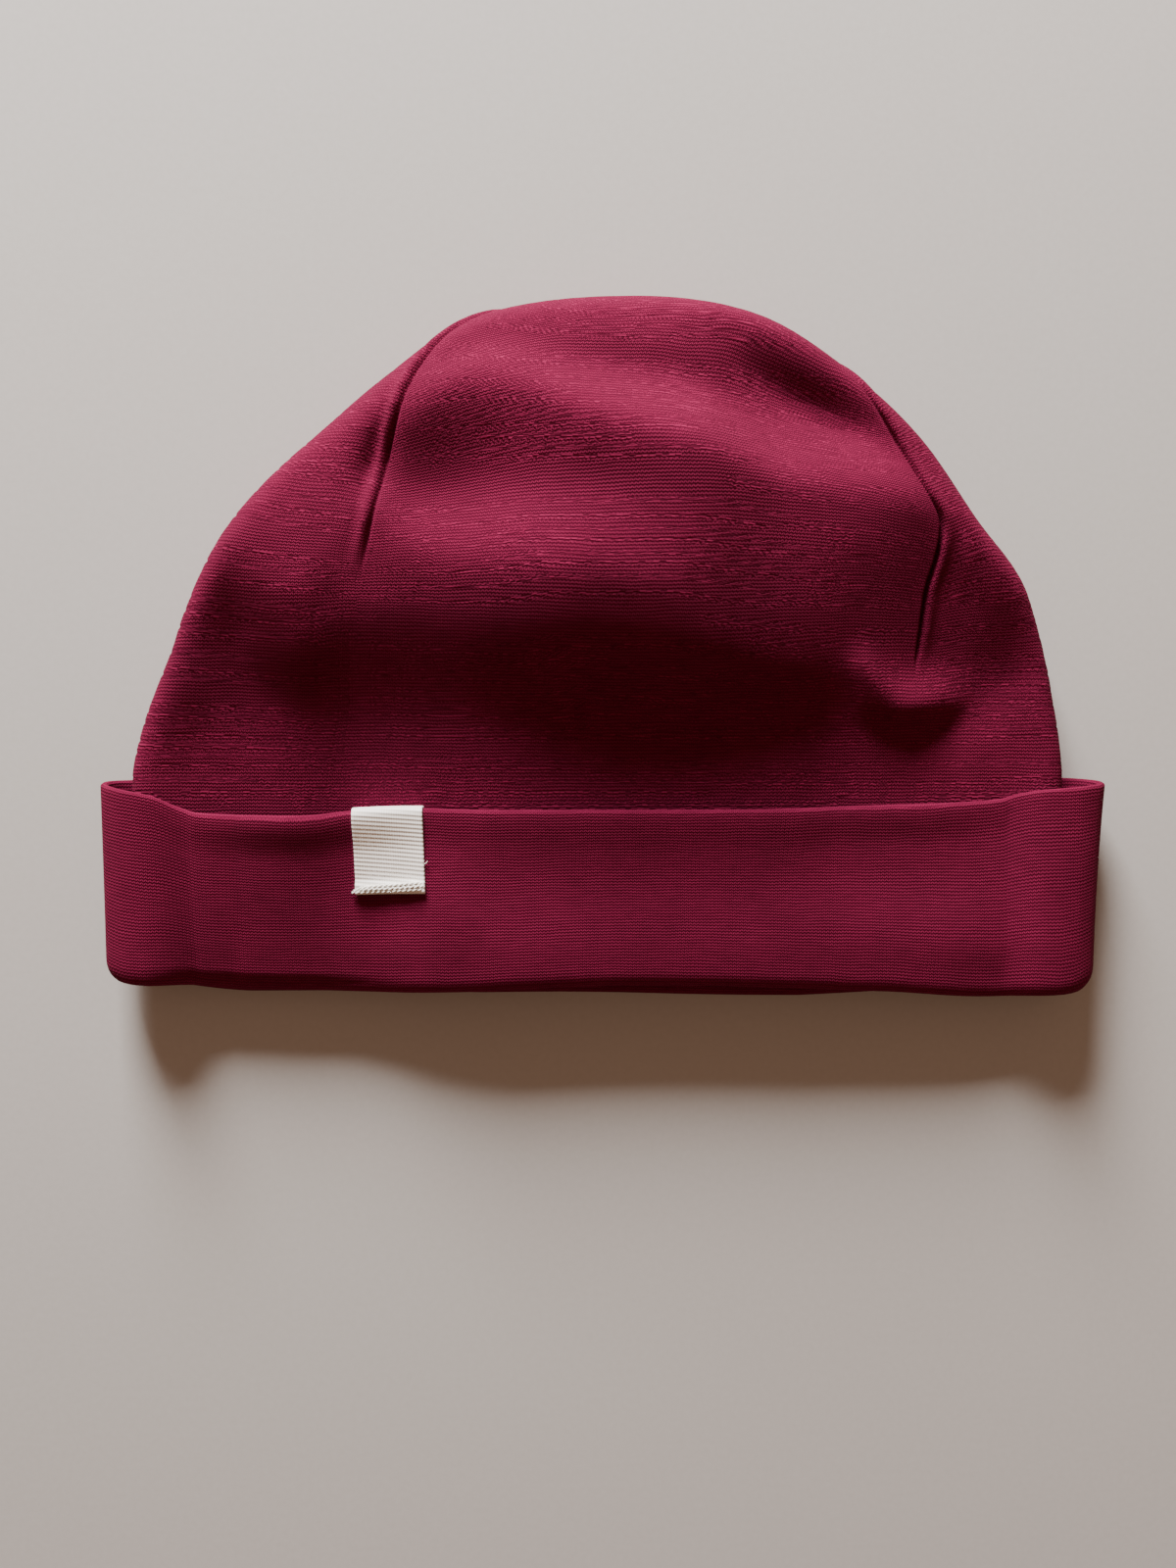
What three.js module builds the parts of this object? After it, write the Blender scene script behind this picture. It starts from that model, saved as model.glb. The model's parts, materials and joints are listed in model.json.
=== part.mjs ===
// A small child's beanie of doubled cotton jersey, lying on its back with its mouth towards -Y.
// Millimetres. +X runs across the hat, +Y towards the top of the crown, +Z up from the surface it
// lies on. The origin is the middle of its underside.
//
// Three sewn pieces: the crown (one hollow shell closed by four darts), the cuff (a band that is
// turned up over the crown's lower edge) and a small tape label folded over the cuff's top edge.

import * as THREE from "three";

// ---------------------------------------------------------------- driving sizes

const WALL = 1.5; // two layers of jersey
const CLEARANCE = 0.3; // kept between pieces that are sewn to each other

const CROWN = {
  x: -1.4, // middle of the dome's outline
  y: -27.5, // where the dome ends and the straight tube begins
  rimY: -45, // lower edge, hidden behind the cuff
  edge: 5, // plan width of the rounded edge between the upper and the lower sheet
  rimBlend: 16, // distance from the outline over which the sections take over from the edge
  poleTilt: 36, // the four darts meet this far round towards the lower sheet
  poleTurn: 14, // and this far round towards +X
};

// The crown lies on its underside, but is lifted where the turned-up cuff passes below it.
const LIFT = { startY: -9.5, run: 15 };

const CUFF = {
  backTopY: -25, // turned-up edge on the lower side
  gap: 1.0, // between the two legs of the band where they lie flat
  standLeft: 3.2, // added to that gap where the band stands off the crown at its two ends
  standRight: 5.0,
  flareLeft: 0.05, // share by which the turned-up edge stands off further than the mouth
  flareRight: 0.28,
  rollFade: 8, // length over which the rolled top edge flattens into the band
  mouthRound: 3.4, // how far the fold at the mouth reaches along Y
};

const LABEL = {
  left: -53.3,
  right: -38.6,
  endY: -49.8, // sewn end on the front of the cuff
  tuck: 9, // length hidden behind the cuff
  tape: 0.4, // thickness of the tape
  hem: 2.3, // folded-under end, sewn down
  rollGap: 0.5, // between the tape and the coarser mesh of the cuff's rolled edge
  faceGap: 0.75, // and of its face
  columns: 4,
};

const DART = { depth: 0.6, width: 1.6, runOut: 0.06 };

// Radius of the crown's outline about its middle, by direction in degrees.
const OUTLINE = table("turn radius", [
  [0, 101.6],
  [12, 100.9],
  [24, 101.0],
  [36, 98.0],
  [48, 100.2],
  [60, 102.3],
  [72, 104.6],
  [90, 102.5],
  [105, 101.3],
  [118, 96.5],
  [130, 94.2],
  [151, 95.4],
  [161, 95.5],
  [172, 98.7],
  [180, 100.6],
]);

// Height of the middle of the rounded edge, by direction in degrees.
const EDGE_HEIGHT = table("turn height", [
  [0, 6.3],
  [18, 6.8],
  [34, 8.8],
  [60, 8.2],
  [90, 8.4],
  [118, 9.0],
  [142, 10.3],
  [156, 8.6],
  [180, 6.3],
]);

// Sections across the upper sheet, one row for each station in x. Every section runs over the
// same features from the top of the crown to the mouth, each with its place and its height; the
// last four heights are at the places of BAND.
const SECTIONS = table(
  "x shoulderY shoulderZ rollY rollZ dipY dipZ browY browZ kneeY kneeZ footY footZ" +
    " hemZ faceZ bandZ mouthZ",
  [
    [-86, 26, 17.0, 20, 17.2, 14, 16.8, 6, 15.2, -6, 12.6, -20, 9.8, 8.6, 7.9, 7.0, 6.2],
    [-78, 32, 20.6, 28, 22.0, 23, 22.2, 17, 20.4, 4, 14.8, -9, 10.5, 7.6, 7.0, 6.4, 5.9],
    [-64, 42, 19.4, 34, 20.4, 26, 21.4, 15, 21.5, 5, 19.2, -14, 11.0, 8.0, 7.4, 6.8, 6.1],
    [-51, 51, 20.4, 46, 22.1, 37, 21.5, 28, 21.9, 12, 20.4, -15, 10.8, 8.7, 8.4, 8.2, 7.5],
    [-39, 62, 21.3, 53, 23.4, 34, 19.8, 20, 22.9, 12, 21.8, -16, 11.5, 9.2, 9.4, 10.1, 9.5],
    [-24, 64, 20.8, 53, 24.5, 35, 21.8, 18, 25.7, 10, 24.4, -16, 13.0, 10.7, 10.7, 11.1, 10.7],
    [-4, 61, 20.6, 46, 28.8, 34, 27.2, 18, 29.2, 9, 27.2, -15, 13.6, 10.7, 10.7, 11.1, 10.7],
    [16, 58, 19.0, 40, 30.0, 28, 29.0, 15, 27.5, 5, 25.1, -15, 13.6, 10.7, 10.7, 11.1, 10.7],
    [36, 51, 15.4, 33, 24.8, 26, 24.5, 14, 23.4, 0, 20.6, -15, 13.1, 10.6, 10.6, 11.1, 10.7],
    [47, 50, 14.8, 32, 22.4, 26, 22.2, 14, 20.6, -1, 17.4, -16, 11.8, 9.8, 10.0, 10.9, 10.4],
    [59, 46, 15.6, 32, 20.6, 26, 19.8, 12, 16.9, -5, 13.5, -18, 10.9, 9.4, 9.7, 10.7, 10.2],
    [72, 38, 16.4, 32, 18.6, 25, 17.2, 12, 13.9, -4, 11.0, -18, 9.5, 9.0, 9.1, 10.3, 9.6],
    [86, 24, 18.4, 20, 18.2, 15, 16.8, 6, 13.4, -6, 10.7, -18, 9.6, 8.5, 8.9, 9.5, 8.6],
  ],
);
const BAND = { hemY: -33, faceY: -44, bandY: -61, mouthY: -72 };

// Smaller folds and dents that run across the sections: the middle of the crease, the direction
// it runs in, half of its length, how far its ends bend, its width on either side and its height.
const FOLDS = table("x y turn halfLength bow above below height", [
  [41, 52.5, -28, 24, 0, 4, 5, -2.6],
  [-47.5, 40, 76, 12, 0, 3.4, 3.6, -2.7],
  [-80, 8, 70, 18, 0, 4.5, 5, -1.2],
  [66, -10.5, 4, 17, 3, 6, 3.2, 3.6],
  [54.5, -4, -58, 9, 0, 3.4, 3, 1.8],
  [82, -6, 42, 20, 0, 10, 6, -1.6],
]);

// The darts, counter-clockwise from the right of the upper sheet. Level 0 is the crown's middle
// and level 1 the top of the tube; turn is the dart's place round the hat in degrees.
const DARTS = [
  {
    name: "frontRight",
    tip: 0.83,
    path: table("level turn", [
      [0, 56],
      [0.32, 45],
      [0.4, 39.5],
      [0.49, 32.5],
      [0.55, 27.5],
      [0.6, 24],
      [0.64, 25.2],
      [0.7, 28.5],
      [0.81, 31.5],
      [1, 33],
    ]),
  },
  {
    name: "frontLeft",
    tip: 0.71,
    path: table("level turn", [
      [0, 112],
      [0.32, 125.5],
      [0.41, 137],
      [0.47, 139.5],
      [0.58, 139.5],
      [0.7, 139],
      [1, 138],
    ]),
  },
  { name: "backLeft", tip: 0.75, path: table("level turn", [[0, 222], [1, 222]]) },
  { name: "backRight", tip: 0.75, path: table("level turn", [[0, 312], [1, 312]]) },
];

// The fold at the mouth, upper side, from the left end to the right.
const MOUTH = table("x y", [
  [-108, -67.0],
  [-98, -69.3],
  [-72, -71.8],
  [-48, -72.0],
  [5, -70.4],
  [60, -72.3],
  [84, -74.0],
  [104, -72.5],
  [108, -71.5],
]);
// On the lower side that fold reaches a little further out, most of all near x.
const MOUTH_BACK = { x: 22, width: 48, frontLimit: -71.5, step: 1.5, drop: 2.6 };

// The turned-up edge on the upper side, and how far its roll swells out of the band's face.
const CUFF_RIM = table("x y swell", [
  [-108, -25.0, 0.7],
  [-99, -29.2, 1.0],
  [-92, -32.0, 1.3],
  [-80, -32.8, 1.5],
  [-64, -33.0, 1.5],
  [-51, -31.9, 1.0],
  [-41, -31.7, 0.6],
  [-22, -32.0, 0.35],
  [30, -32.0, 0.35],
  [50, -31.5, 0.6],
  [79, -30.7, 0.9],
  [96, -29.1, 0.7],
  [108, -27.0, 0.6],
]);

// Soft creases on the face of the cuff, in the same columns as FOLDS.
const CUFF_FOLDS = table("x y turn halfLength bow above below height", [
  [-34, -50, -70, 18, 0, 3, 5, 0.7],
  [-84, -36, 0, 44, 0, 12, 28, 4.8],
  [12, -32, 0, 95, 0, 12, 11, 1.6],
]);

// Spacing of the mesh: fractions of a panel between two darts, closer beside each dart.
const WIDE_PANEL = [0, 0.02, 0.06, 0.14, 0.24, 0.34, 0.45, 0.55, 0.66, 0.76, 0.86, 0.94, 0.98];
const SIDE_PANEL = [
  0, 0.02, 0.06, 0.13, 0.22, 0.3, 0.37, 0.43, 0.48, 0.53, 0.58, 0.64, 0.7, 0.78, 0.87, 0.94, 0.98,
];
const DOME_ROWS = 25;
const TUBE_ROWS = 3;
const CUFF_COLUMNS = 45;
const CUFF_CROWDING = 0.25; // draws the cuff's columns towards its two ends
const LABEL_TUCK_ROWS = [1, 0.7, 0.35]; // rows of the tape behind the cuff, hidden end first
const LABEL_ROLL_STEPS = 6; // rows of the tape round the roll
const LABEL_FRONT_ROWS = [2.5, 5, 7.5, 11]; // its rows down the face, from the roll
const LEG_PLACES = [0, 0.2, 0.45, 0.68, 0.84, 0.94]; // rows of the outer leg, from mouth to roll

// ---------------------------------------------------------------- tables and curves

function table(names, rows) {
  const keys = names.split(" ");
  return rows.map((row) => Object.fromEntries(keys.map((key, i) => [key, row[i]])));
}

const radians = THREE.MathUtils.degToRad;
const degrees = THREE.MathUtils.radToDeg;
const clamp = THREE.MathUtils.clamp;

function ease(t) {
  const s = clamp(t, 0, 1);
  return s * s * (3 - 2 * s);
}

// A smooth curve through (xs, ys) that never swings past its points.
function curve(xs, ys) {
  const last = xs.length - 1;
  const rise = [];
  for (let i = 0; i < last; i++) {
    rise.push((ys[i + 1] - ys[i]) / (xs[i + 1] - xs[i]));
  }
  const slope = xs.map((x, i) => {
    if (i === 0 || i === last || rise[i - 1] * rise[i] <= 0) {
      return 0;
    }
    const before = xs[i] - xs[i - 1];
    const after = xs[i + 1] - xs[i];
    const w1 = 2 * after + before;
    const w2 = after + 2 * before;
    return (w1 + w2) / (w1 / rise[i - 1] + w2 / rise[i]);
  });
  return (x) => {
    let i = 0;
    while (i < last - 1 && x > xs[i + 1]) {
      i += 1;
    }
    const h = xs[i + 1] - xs[i];
    const t = clamp((x - xs[i]) / h, 0, 1);
    const s = 1 - t;
    const start = s * s * ((1 + 2 * t) * ys[i] + t * h * slope[i]);
    const end = t * t * ((1 + 2 * s) * ys[i + 1] - s * h * slope[i + 1]);
    return start + end;
  };
}

function column(rows, x, y) {
  return curve(
    rows.map((row) => row[x]),
    rows.map((row) => row[y]),
  );
}

const outlineRadius = column(OUTLINE, "turn", "radius");
const edgeHeight = column(EDGE_HEIGHT, "turn", "height");
const mouthFront = column(MOUTH, "x", "y");
const rimPlace = column(CUFF_RIM, "x", "y");
const rimSwell = column(CUFF_RIM, "x", "swell");
const sectionCurves = Object.fromEntries(
  Object.keys(SECTIONS[0]).map((key) => [key, column(SECTIONS, "x", key)]),
);
const dartTurn = DARTS.map((dart) => column(dart.path, "level", "turn"));

// ---------------------------------------------------------------- the cloth's form

// Height of the plain section through the upper sheet at (x, y).
function sectionHeight(x, y) {
  const at = (key) => sectionCurves[key](clamp(x, SECTIONS[0].x, SECTIONS.at(-1).x));
  const ys = [
    BAND.mouthY,
    BAND.bandY,
    BAND.faceY,
    BAND.hemY,
    at("footY"),
    at("kneeY"),
    at("browY"),
    at("dipY"),
    at("rollY"),
    at("shoulderY"),
    at("shoulderY") + 30,
  ];
  const heights = ["mouthZ", "bandZ", "faceZ", "hemZ", "footZ", "kneeZ", "browZ", "dipZ", "rollZ"];
  const zs = [...heights, "shoulderZ", "shoulderZ"].map(at);
  return curve(ys, zs)(y);
}

// Sum of the small folds in a table at (x, y).
function foldHeight(rows, x, y) {
  let sum = 0;
  for (const fold of rows) {
    const c = Math.cos(radians(fold.turn));
    const s = Math.sin(radians(fold.turn));
    const along = ((x - fold.x) * c + (y - fold.y) * s) / fold.halfLength;
    if (Math.abs(along) < 1) {
      const across = (y - fold.y) * c - (x - fold.x) * s - fold.bow * along * along;
      const width = across > 0 ? fold.above : fold.below;
      sum += fold.height * (1 - along * along) ** 2 * Math.exp(-((across / width) ** 2));
    }
  }
  return sum;
}

function underside(y) {
  return (WALL + CUFF.gap) * ease((LIFT.startY - y) / LIFT.run);
}

function topHeight(x, y, turn, inside) {
  const rim = 2 * edgeHeight(turn);
  const section = sectionHeight(x, y);
  const blend = ease((inside + 2) / CROWN.rimBlend);
  return rim + (section - rim) * blend + foldHeight(FOLDS, x, y) * ease((inside + 3) / 10);
}

// Direction of a column on a ball whose pole leans towards the lower sheet; the lean is gone at
// level 1, so that the tube's rings are square to Y.
function ballDirection(turn, level) {
  const fall = radians(90 * level);
  const around = radians(turn);
  const ring = new THREE.Vector3(
    Math.sin(fall) * Math.cos(around),
    Math.cos(fall),
    Math.sin(fall) * Math.sin(around),
  );
  const lean = radians(CROWN.poleTurn);
  const axis = new THREE.Vector3(-Math.cos(lean), 0, -Math.sin(lean));
  return ring.applyAxisAngle(axis, radians(CROWN.poleTilt * (1 - level)));
}

// A point on the outside of the hat's body: turn round it in degrees, level from the crown's
// middle (0) to the top of the tube (1), and the distance down the tube.
function bodyPoint(turn, level, tube = 0) {
  const ball = ballDirection(turn, level);
  const fromTop = degrees(Math.acos(clamp(ball.z, -1, 1)));
  const heading = degrees(Math.atan2(Math.max(ball.y, 0), ball.x));
  const radius = outlineRadius(heading);
  const flat = radius - CROWN.edge;
  const upper = fromTop <= 90;
  const reach = ((upper ? fromTop : 180 - fromTop) / 90) * (flat + (Math.PI / 2) * CROWN.edge);
  const bend = clamp((reach - flat) / CROWN.edge, 0, Math.PI / 2);
  const plan = Math.min(reach, flat) + CROWN.edge * Math.sin(bend);
  const x = CROWN.x + plan * Math.cos(radians(heading));
  const y = CROWN.y + plan * Math.sin(radians(heading)) - tube;
  const low = underside(y);
  const middle = edgeHeight(heading) + low / 2;
  const far = upper ? topHeight(x, y, heading, radius - plan) : low;
  return new THREE.Vector3(x, y, middle + (far - middle) * Math.cos(bend));
}

// ---------------------------------------------------------------- the crown

// Place of a mesh column at a level: panel is the dart it starts from, part the share of the way
// to the next dart.
function columnTurn(panel, part, level) {
  const next = (panel + 1) % DARTS.length;
  const from = dartTurn[panel](level);
  const to = dartTurn[next](level) + (next === 0 ? 360 : 0);
  return from + (to - from) * part;
}

function dartGroove(panel, part, level) {
  const near = part < 0.5 ? panel : (panel + 1) % DARTS.length;
  const ring = 2 * Math.PI * outlineRadius(90) * Math.sin(radians(90 * level));
  const distance = (Math.min(part, 1 - part) * ring) / DARTS.length;
  const sewn = ease((DARTS[near].tip - level) / DART.runOut) * ease(level / 0.15);
  return DART.depth * sewn * Math.exp(-((distance / DART.width) ** 2));
}

function bodyNormal(turn, level, tube) {
  const step = 0.4;
  const around = bodyPoint(turn + step, level, tube).sub(bodyPoint(turn - step, level, tube));
  const up =
    tube > 0 || level > 0.99
      ? bodyPoint(turn, level, tube - 1).sub(bodyPoint(turn, level, tube + 1))
      : bodyPoint(turn, level - 0.008, tube).sub(bodyPoint(turn, level + 0.008, tube));
  return up.cross(around).normalize();
}

function crownRows(inset) {
  const rows = [];
  const levels = [];
  for (let i = 1; i <= DOME_ROWS; i++) {
    levels.push([i / DOME_ROWS, 0]);
  }
  for (let i = 1; i <= TUBE_ROWS; i++) {
    levels.push([1, ((CROWN.y - CROWN.rimY) * i) / TUBE_ROWS]);
  }
  for (const [level, tube] of levels) {
    const row = [];
    for (let panel = 0; panel < DARTS.length; panel++) {
      for (const part of panel % 2 === 0 ? WIDE_PANEL : SIDE_PANEL) {
        const turn = columnTurn(panel, part, level);
        const depth = inset + (tube > 0 ? 0 : dartGroove(panel, part, level));
        const point = bodyPoint(turn, level, tube);
        row.push(point.addScaledVector(bodyNormal(turn, level, tube), -depth));
      }
    }
    rows.push(row);
  }
  return rows;
}

function crownGeometry() {
  const pole = bodyPoint(0, 0);
  const outer = crownRows(0);
  const inner = crownRows(WALL).reverse();
  const innerPole = pole.clone().setZ(pole.z + WALL);
  return ringSkin([...outer, ...inner], pole, innerPole);
}

// ---------------------------------------------------------------- the cuff

// The body's ring at y with its outward direction, in the plane square to Y.
function ringFrame(turn, y) {
  const tube = CROWN.y - y;
  const point = bodyPoint(turn, 1, tube);
  const along = bodyPoint(turn + 0.5, 1, tube).sub(bodyPoint(turn - 0.5, 1, tube));
  const outward = new THREE.Vector3(along.z, 0, -along.x).normalize();
  return { point, outward };
}

// A point off the body's ring; sideways moves it along X only, towards the nearer end.
function offBody(turn, y, distance, sideways = 0) {
  const { point, outward } = ringFrame(turn, y);
  point.addScaledVector(outward, distance);
  point.x += outward.x * sideways;
  return point;
}

// 1 on the upper side of the hat, 0 on the lower, changing over round the two ends.
function upperShare(turn) {
  return ease(0.5 + 1.6 * Math.sin(radians(turn)));
}

// The same, but nothing of it reaches the lower side, which lies flat on the surface.
function faceShare(turn) {
  return ease(1.6 * Math.sin(radians(turn)));
}

// Everything that shapes the cuff's section at one place round it.
function cuffStation(turn) {
  const { point, outward } = ringFrame(turn, (CUFF.backTopY + CROWN.rimY) / 2);
  const toRight = point.x > CROWN.x;
  const stand = toRight ? CUFF.standRight : CUFF.standLeft;
  const upper = upperShare(turn);
  const face = faceShare(turn);
  const front = mouthFront(point.x);
  const spread = Math.exp(-(((point.x - MOUTH_BACK.x) / MOUTH_BACK.width) ** 2));
  const back = Math.max(front, MOUTH_BACK.frontLimit) - MOUTH_BACK.step - MOUTH_BACK.drop * spread;
  return {
    x: point.x,
    stand,
    flare: toRight ? CUFF.flareRight : CUFF.flareLeft,
    face,
    topY: CUFF.backTopY + (rimPlace(point.x) - CUFF.backTopY) * upper,
    swell: rimSwell(point.x) * face,
    depth: CUFF.mouthRound + (stand * outward.x ** 2) / 2,
    mouthY: back + (front - back) * upper,
  };
}

function rimRadius(station) {
  return (WALL + station.swell) / 2;
}

// Distance of the outer leg's inner and outer faces from the body.
function backDistance(station, y) {
  return CUFF.gap + station.face * foldHeight(CUFF_FOLDS, station.x, y);
}

function faceDistance(station, y) {
  const below = station.topY - rimRadius(station) - y;
  const roll = station.swell * (1 - ease(below / CUFF.rollFade));
  return backDistance(station, y) + WALL + roll;
}

function cuffSection(turn) {
  const station = cuffStation(turn);
  const { stand, flare, depth } = station;
  const outerBend = CUFF.gap / 2 + WALL;
  const innerBend = CUFF.gap / 2;
  const bendY = station.mouthY + depth;
  const startY = CROWN.rimY - CLEARANCE;
  const radius = rimRadius(station);
  const rimY = station.topY - radius;
  const section = [];
  const put = (y, distance, share) => {
    section.push(offBody(turn, y, distance, stand * share));
  };
  const steps = (count, place) => {
    for (let i = 0; i < count; i++) {
      place(i / count);
    }
  };
  steps(3, (f) => put(startY + (bendY - startY) * f, -WALL, 0));
  steps(6, (f) => {
    const swing = Math.PI * f;
    put(bendY - depth * Math.sin(swing), innerBend - outerBend * Math.cos(swing), ease(f));
  });
  for (const f of LEG_PLACES) {
    const y = bendY + (rimY - bendY) * f;
    put(y, faceDistance(station, y), 1 + flare * f * f);
  }
  const middle = faceDistance(station, rimY) - radius;
  steps(4, (f) => {
    const swing = Math.PI * f;
    put(rimY + radius * Math.sin(swing), middle + radius * Math.cos(swing), 1 + flare);
  });
  put(rimY, backDistance(station, rimY), 1 + flare);
  for (const f of LEG_PLACES.slice(1).reverse()) {
    const y = bendY + (rimY - bendY) * f;
    put(y, backDistance(station, y), 1 + flare * f * f);
  }
  steps(4, (f) => {
    const swing = Math.PI * f;
    const reach = (depth - WALL) * Math.sin(swing);
    put(bendY - reach, innerBend + innerBend * Math.cos(swing), ease(1 - f));
  });
  steps(2, (f) => put(bendY + (startY - bendY) * f, 0, 0));
  put(startY, 0, 0);
  return section;
}

function cuffGeometry() {
  const sections = [];
  for (let i = 0; i < CUFF_COLUMNS; i++) {
    const even = (2 * Math.PI * i) / CUFF_COLUMNS;
    sections.push(cuffSection(degrees(even - CUFF_CROWDING * Math.sin(2 * even))));
  }
  // The section is drawn from the mouth outwards, so its rows are turned round to face out.
  const rows = sections[0].map((point, k) => sections.map((section) => section[k]));
  return loopSkin(rows.reverse());
}

// ---------------------------------------------------------------- the label

// Turn of the body's upper sheet at a given x, found by halving.
function turnAt(x) {
  let low = 90;
  let high = 180;
  for (let i = 0; i < 40; i++) {
    const middle = (low + high) / 2;
    if (bodyPoint(middle, 1, 10).x > x) {
      low = middle;
    } else {
      high = middle;
    }
  }
  return low;
}

// Pairs of points on the tape's inner and outer face, from its hidden end to its sewn end.
function labelSection(x) {
  const turn = turnAt(x);
  const station = cuffStation(turn);
  const radius = rimRadius(station);
  const rimY = station.topY - radius;
  const reach = radius + LABEL.rollGap;
  const wide = reach + LABEL.tape;
  const middle = faceDistance(station, rimY) - radius;
  const pairs = [];
  const put = (y, inner, outer) => {
    pairs.push([offBody(turn, y, inner), offBody(turn, y, outer)]);
  };
  for (const share of LABEL_TUCK_ROWS) {
    const y = rimY - LABEL.tuck * share;
    const inner = backDistance(station, y) - CLEARANCE;
    put(y, inner, inner - LABEL.tape);
  }
  for (let i = 0; i <= LABEL_ROLL_STEPS; i++) {
    const swing = Math.PI * (1 - i / LABEL_ROLL_STEPS);
    const rise = Math.sin(swing);
    const out = Math.cos(swing);
    pairs.push([
      offBody(turn, rimY + reach * rise, middle + reach * out),
      offBody(turn, rimY + wide * rise, middle + wide * out),
    ]);
  }
  const hemY = LABEL.endY + LABEL.hem;
  const face = (y) => faceDistance(station, y) + LABEL.faceGap;
  for (const down of LABEL_FRONT_ROWS) {
    put(rimY - down, face(rimY - down), face(rimY - down) + LABEL.tape);
  }
  put(hemY + LABEL.tape, face(hemY), face(hemY) + LABEL.tape);
  for (const y of [hemY, LABEL.endY + LABEL.tape]) {
    put(y, face(y), face(y) + 2 * LABEL.tape);
  }
  put(LABEL.endY, face(LABEL.endY) + LABEL.tape / 2, face(LABEL.endY) + 1.5 * LABEL.tape);
  return pairs;
}

function labelGeometry() {
  const sections = [];
  for (let i = 0; i <= LABEL.columns; i++) {
    sections.push(labelSection(LABEL.left + ((LABEL.right - LABEL.left) * i) / LABEL.columns));
  }
  const rows = sections.map((pairs) => [
    ...pairs.map((pair) => pair[1]),
    ...pairs.map((pair) => pair[0]).reverse(),
  ]);
  return barSkin(rows);
}

// ---------------------------------------------------------------- skins

function geometry(points, faces) {
  const made = new THREE.BufferGeometry();
  made.setAttribute(
    "position",
    new THREE.Float32BufferAttribute(points.flatMap((point) => point.toArray()), 3),
  );
  made.setIndex(faces.flat());
  made.computeVertexNormals();
  return made;
}

// Two triangles for each cell between two rows of points; closed rows also join end to start.
function cells(faces, first, second, count, closed) {
  const last = closed ? count : count - 1;
  for (let i = 0; i < last; i++) {
    const j = (i + 1) % count;
    faces.push([first + i, first + j, second + j], [first + i, second + j, second + i]);
  }
}

// Rings that start and end at a single point.
function ringSkin(rows, startPoint, endPoint) {
  const count = rows[0].length;
  const points = [...rows.flat(), startPoint, endPoint];
  const start = points.length - 2;
  const end = points.length - 1;
  const faces = [];
  for (let r = 0; r + 1 < rows.length; r++) {
    cells(faces, r * count, (r + 1) * count, count, true);
  }
  const lastRow = (rows.length - 1) * count;
  for (let i = 0; i < count; i++) {
    const j = (i + 1) % count;
    faces.push([start, j, i], [end, lastRow + i, lastRow + j]);
  }
  return geometry(points, faces);
}

// Rings joined first to last, as on a tyre.
function loopSkin(rows) {
  const count = rows[0].length;
  const faces = [];
  for (let r = 0; r < rows.length; r++) {
    cells(faces, r * count, ((r + 1) % rows.length) * count, count, true);
  }
  return geometry(rows.flat(), faces);
}

// A bar swept through closed sections whose two long sides run in step.
function barSkin(rows) {
  const count = rows[0].length;
  const faces = [];
  for (let r = 0; r + 1 < rows.length; r++) {
    cells(faces, r * count, (r + 1) * count, count, true);
  }
  const last = (rows.length - 1) * count;
  for (let i = 0; i < count / 2 - 1; i++) {
    const across = count - 1 - i;
    faces.push([i, across - 1, i + 1], [i, across, across - 1]);
    faces.push([last + i, last + i + 1, last + across - 1]);
    faces.push([last + i, last + across - 1, last + across]);
  }
  return geometry(rows.flat(), faces);
}

// ---------------------------------------------------------------- the hat

function piece(name, made, color, roughness) {
  const material = new THREE.MeshStandardMaterial({ color, roughness, metalness: 0 });
  const mesh = new THREE.Mesh(made, material);
  mesh.name = name;
  return mesh;
}

const jersey = 0x7a1838;
const tape = 0xdcd4c8;

const beanie = new THREE.Group();
beanie.add(piece("crown", crownGeometry(), jersey, 0.95));
beanie.add(piece("cuff", cuffGeometry(), jersey, 0.95));
beanie.add(piece("label", labelGeometry(), tape, 0.85));

export default beanie;
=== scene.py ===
# %% [markdown]
# # A child's beanie, lying on its back
#
# The real hat is sewn from doubled cotton jersey: a crown closed by four darts, a band turned up
# as a cuff, and a small woven tape label folded over the cuff's top edge. The frame gives each
# piece's place and size. This script gives each one its cloth: the fine form, the knit, the
# seams, the stitches, and the light that shows them.

import json
import math

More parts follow.
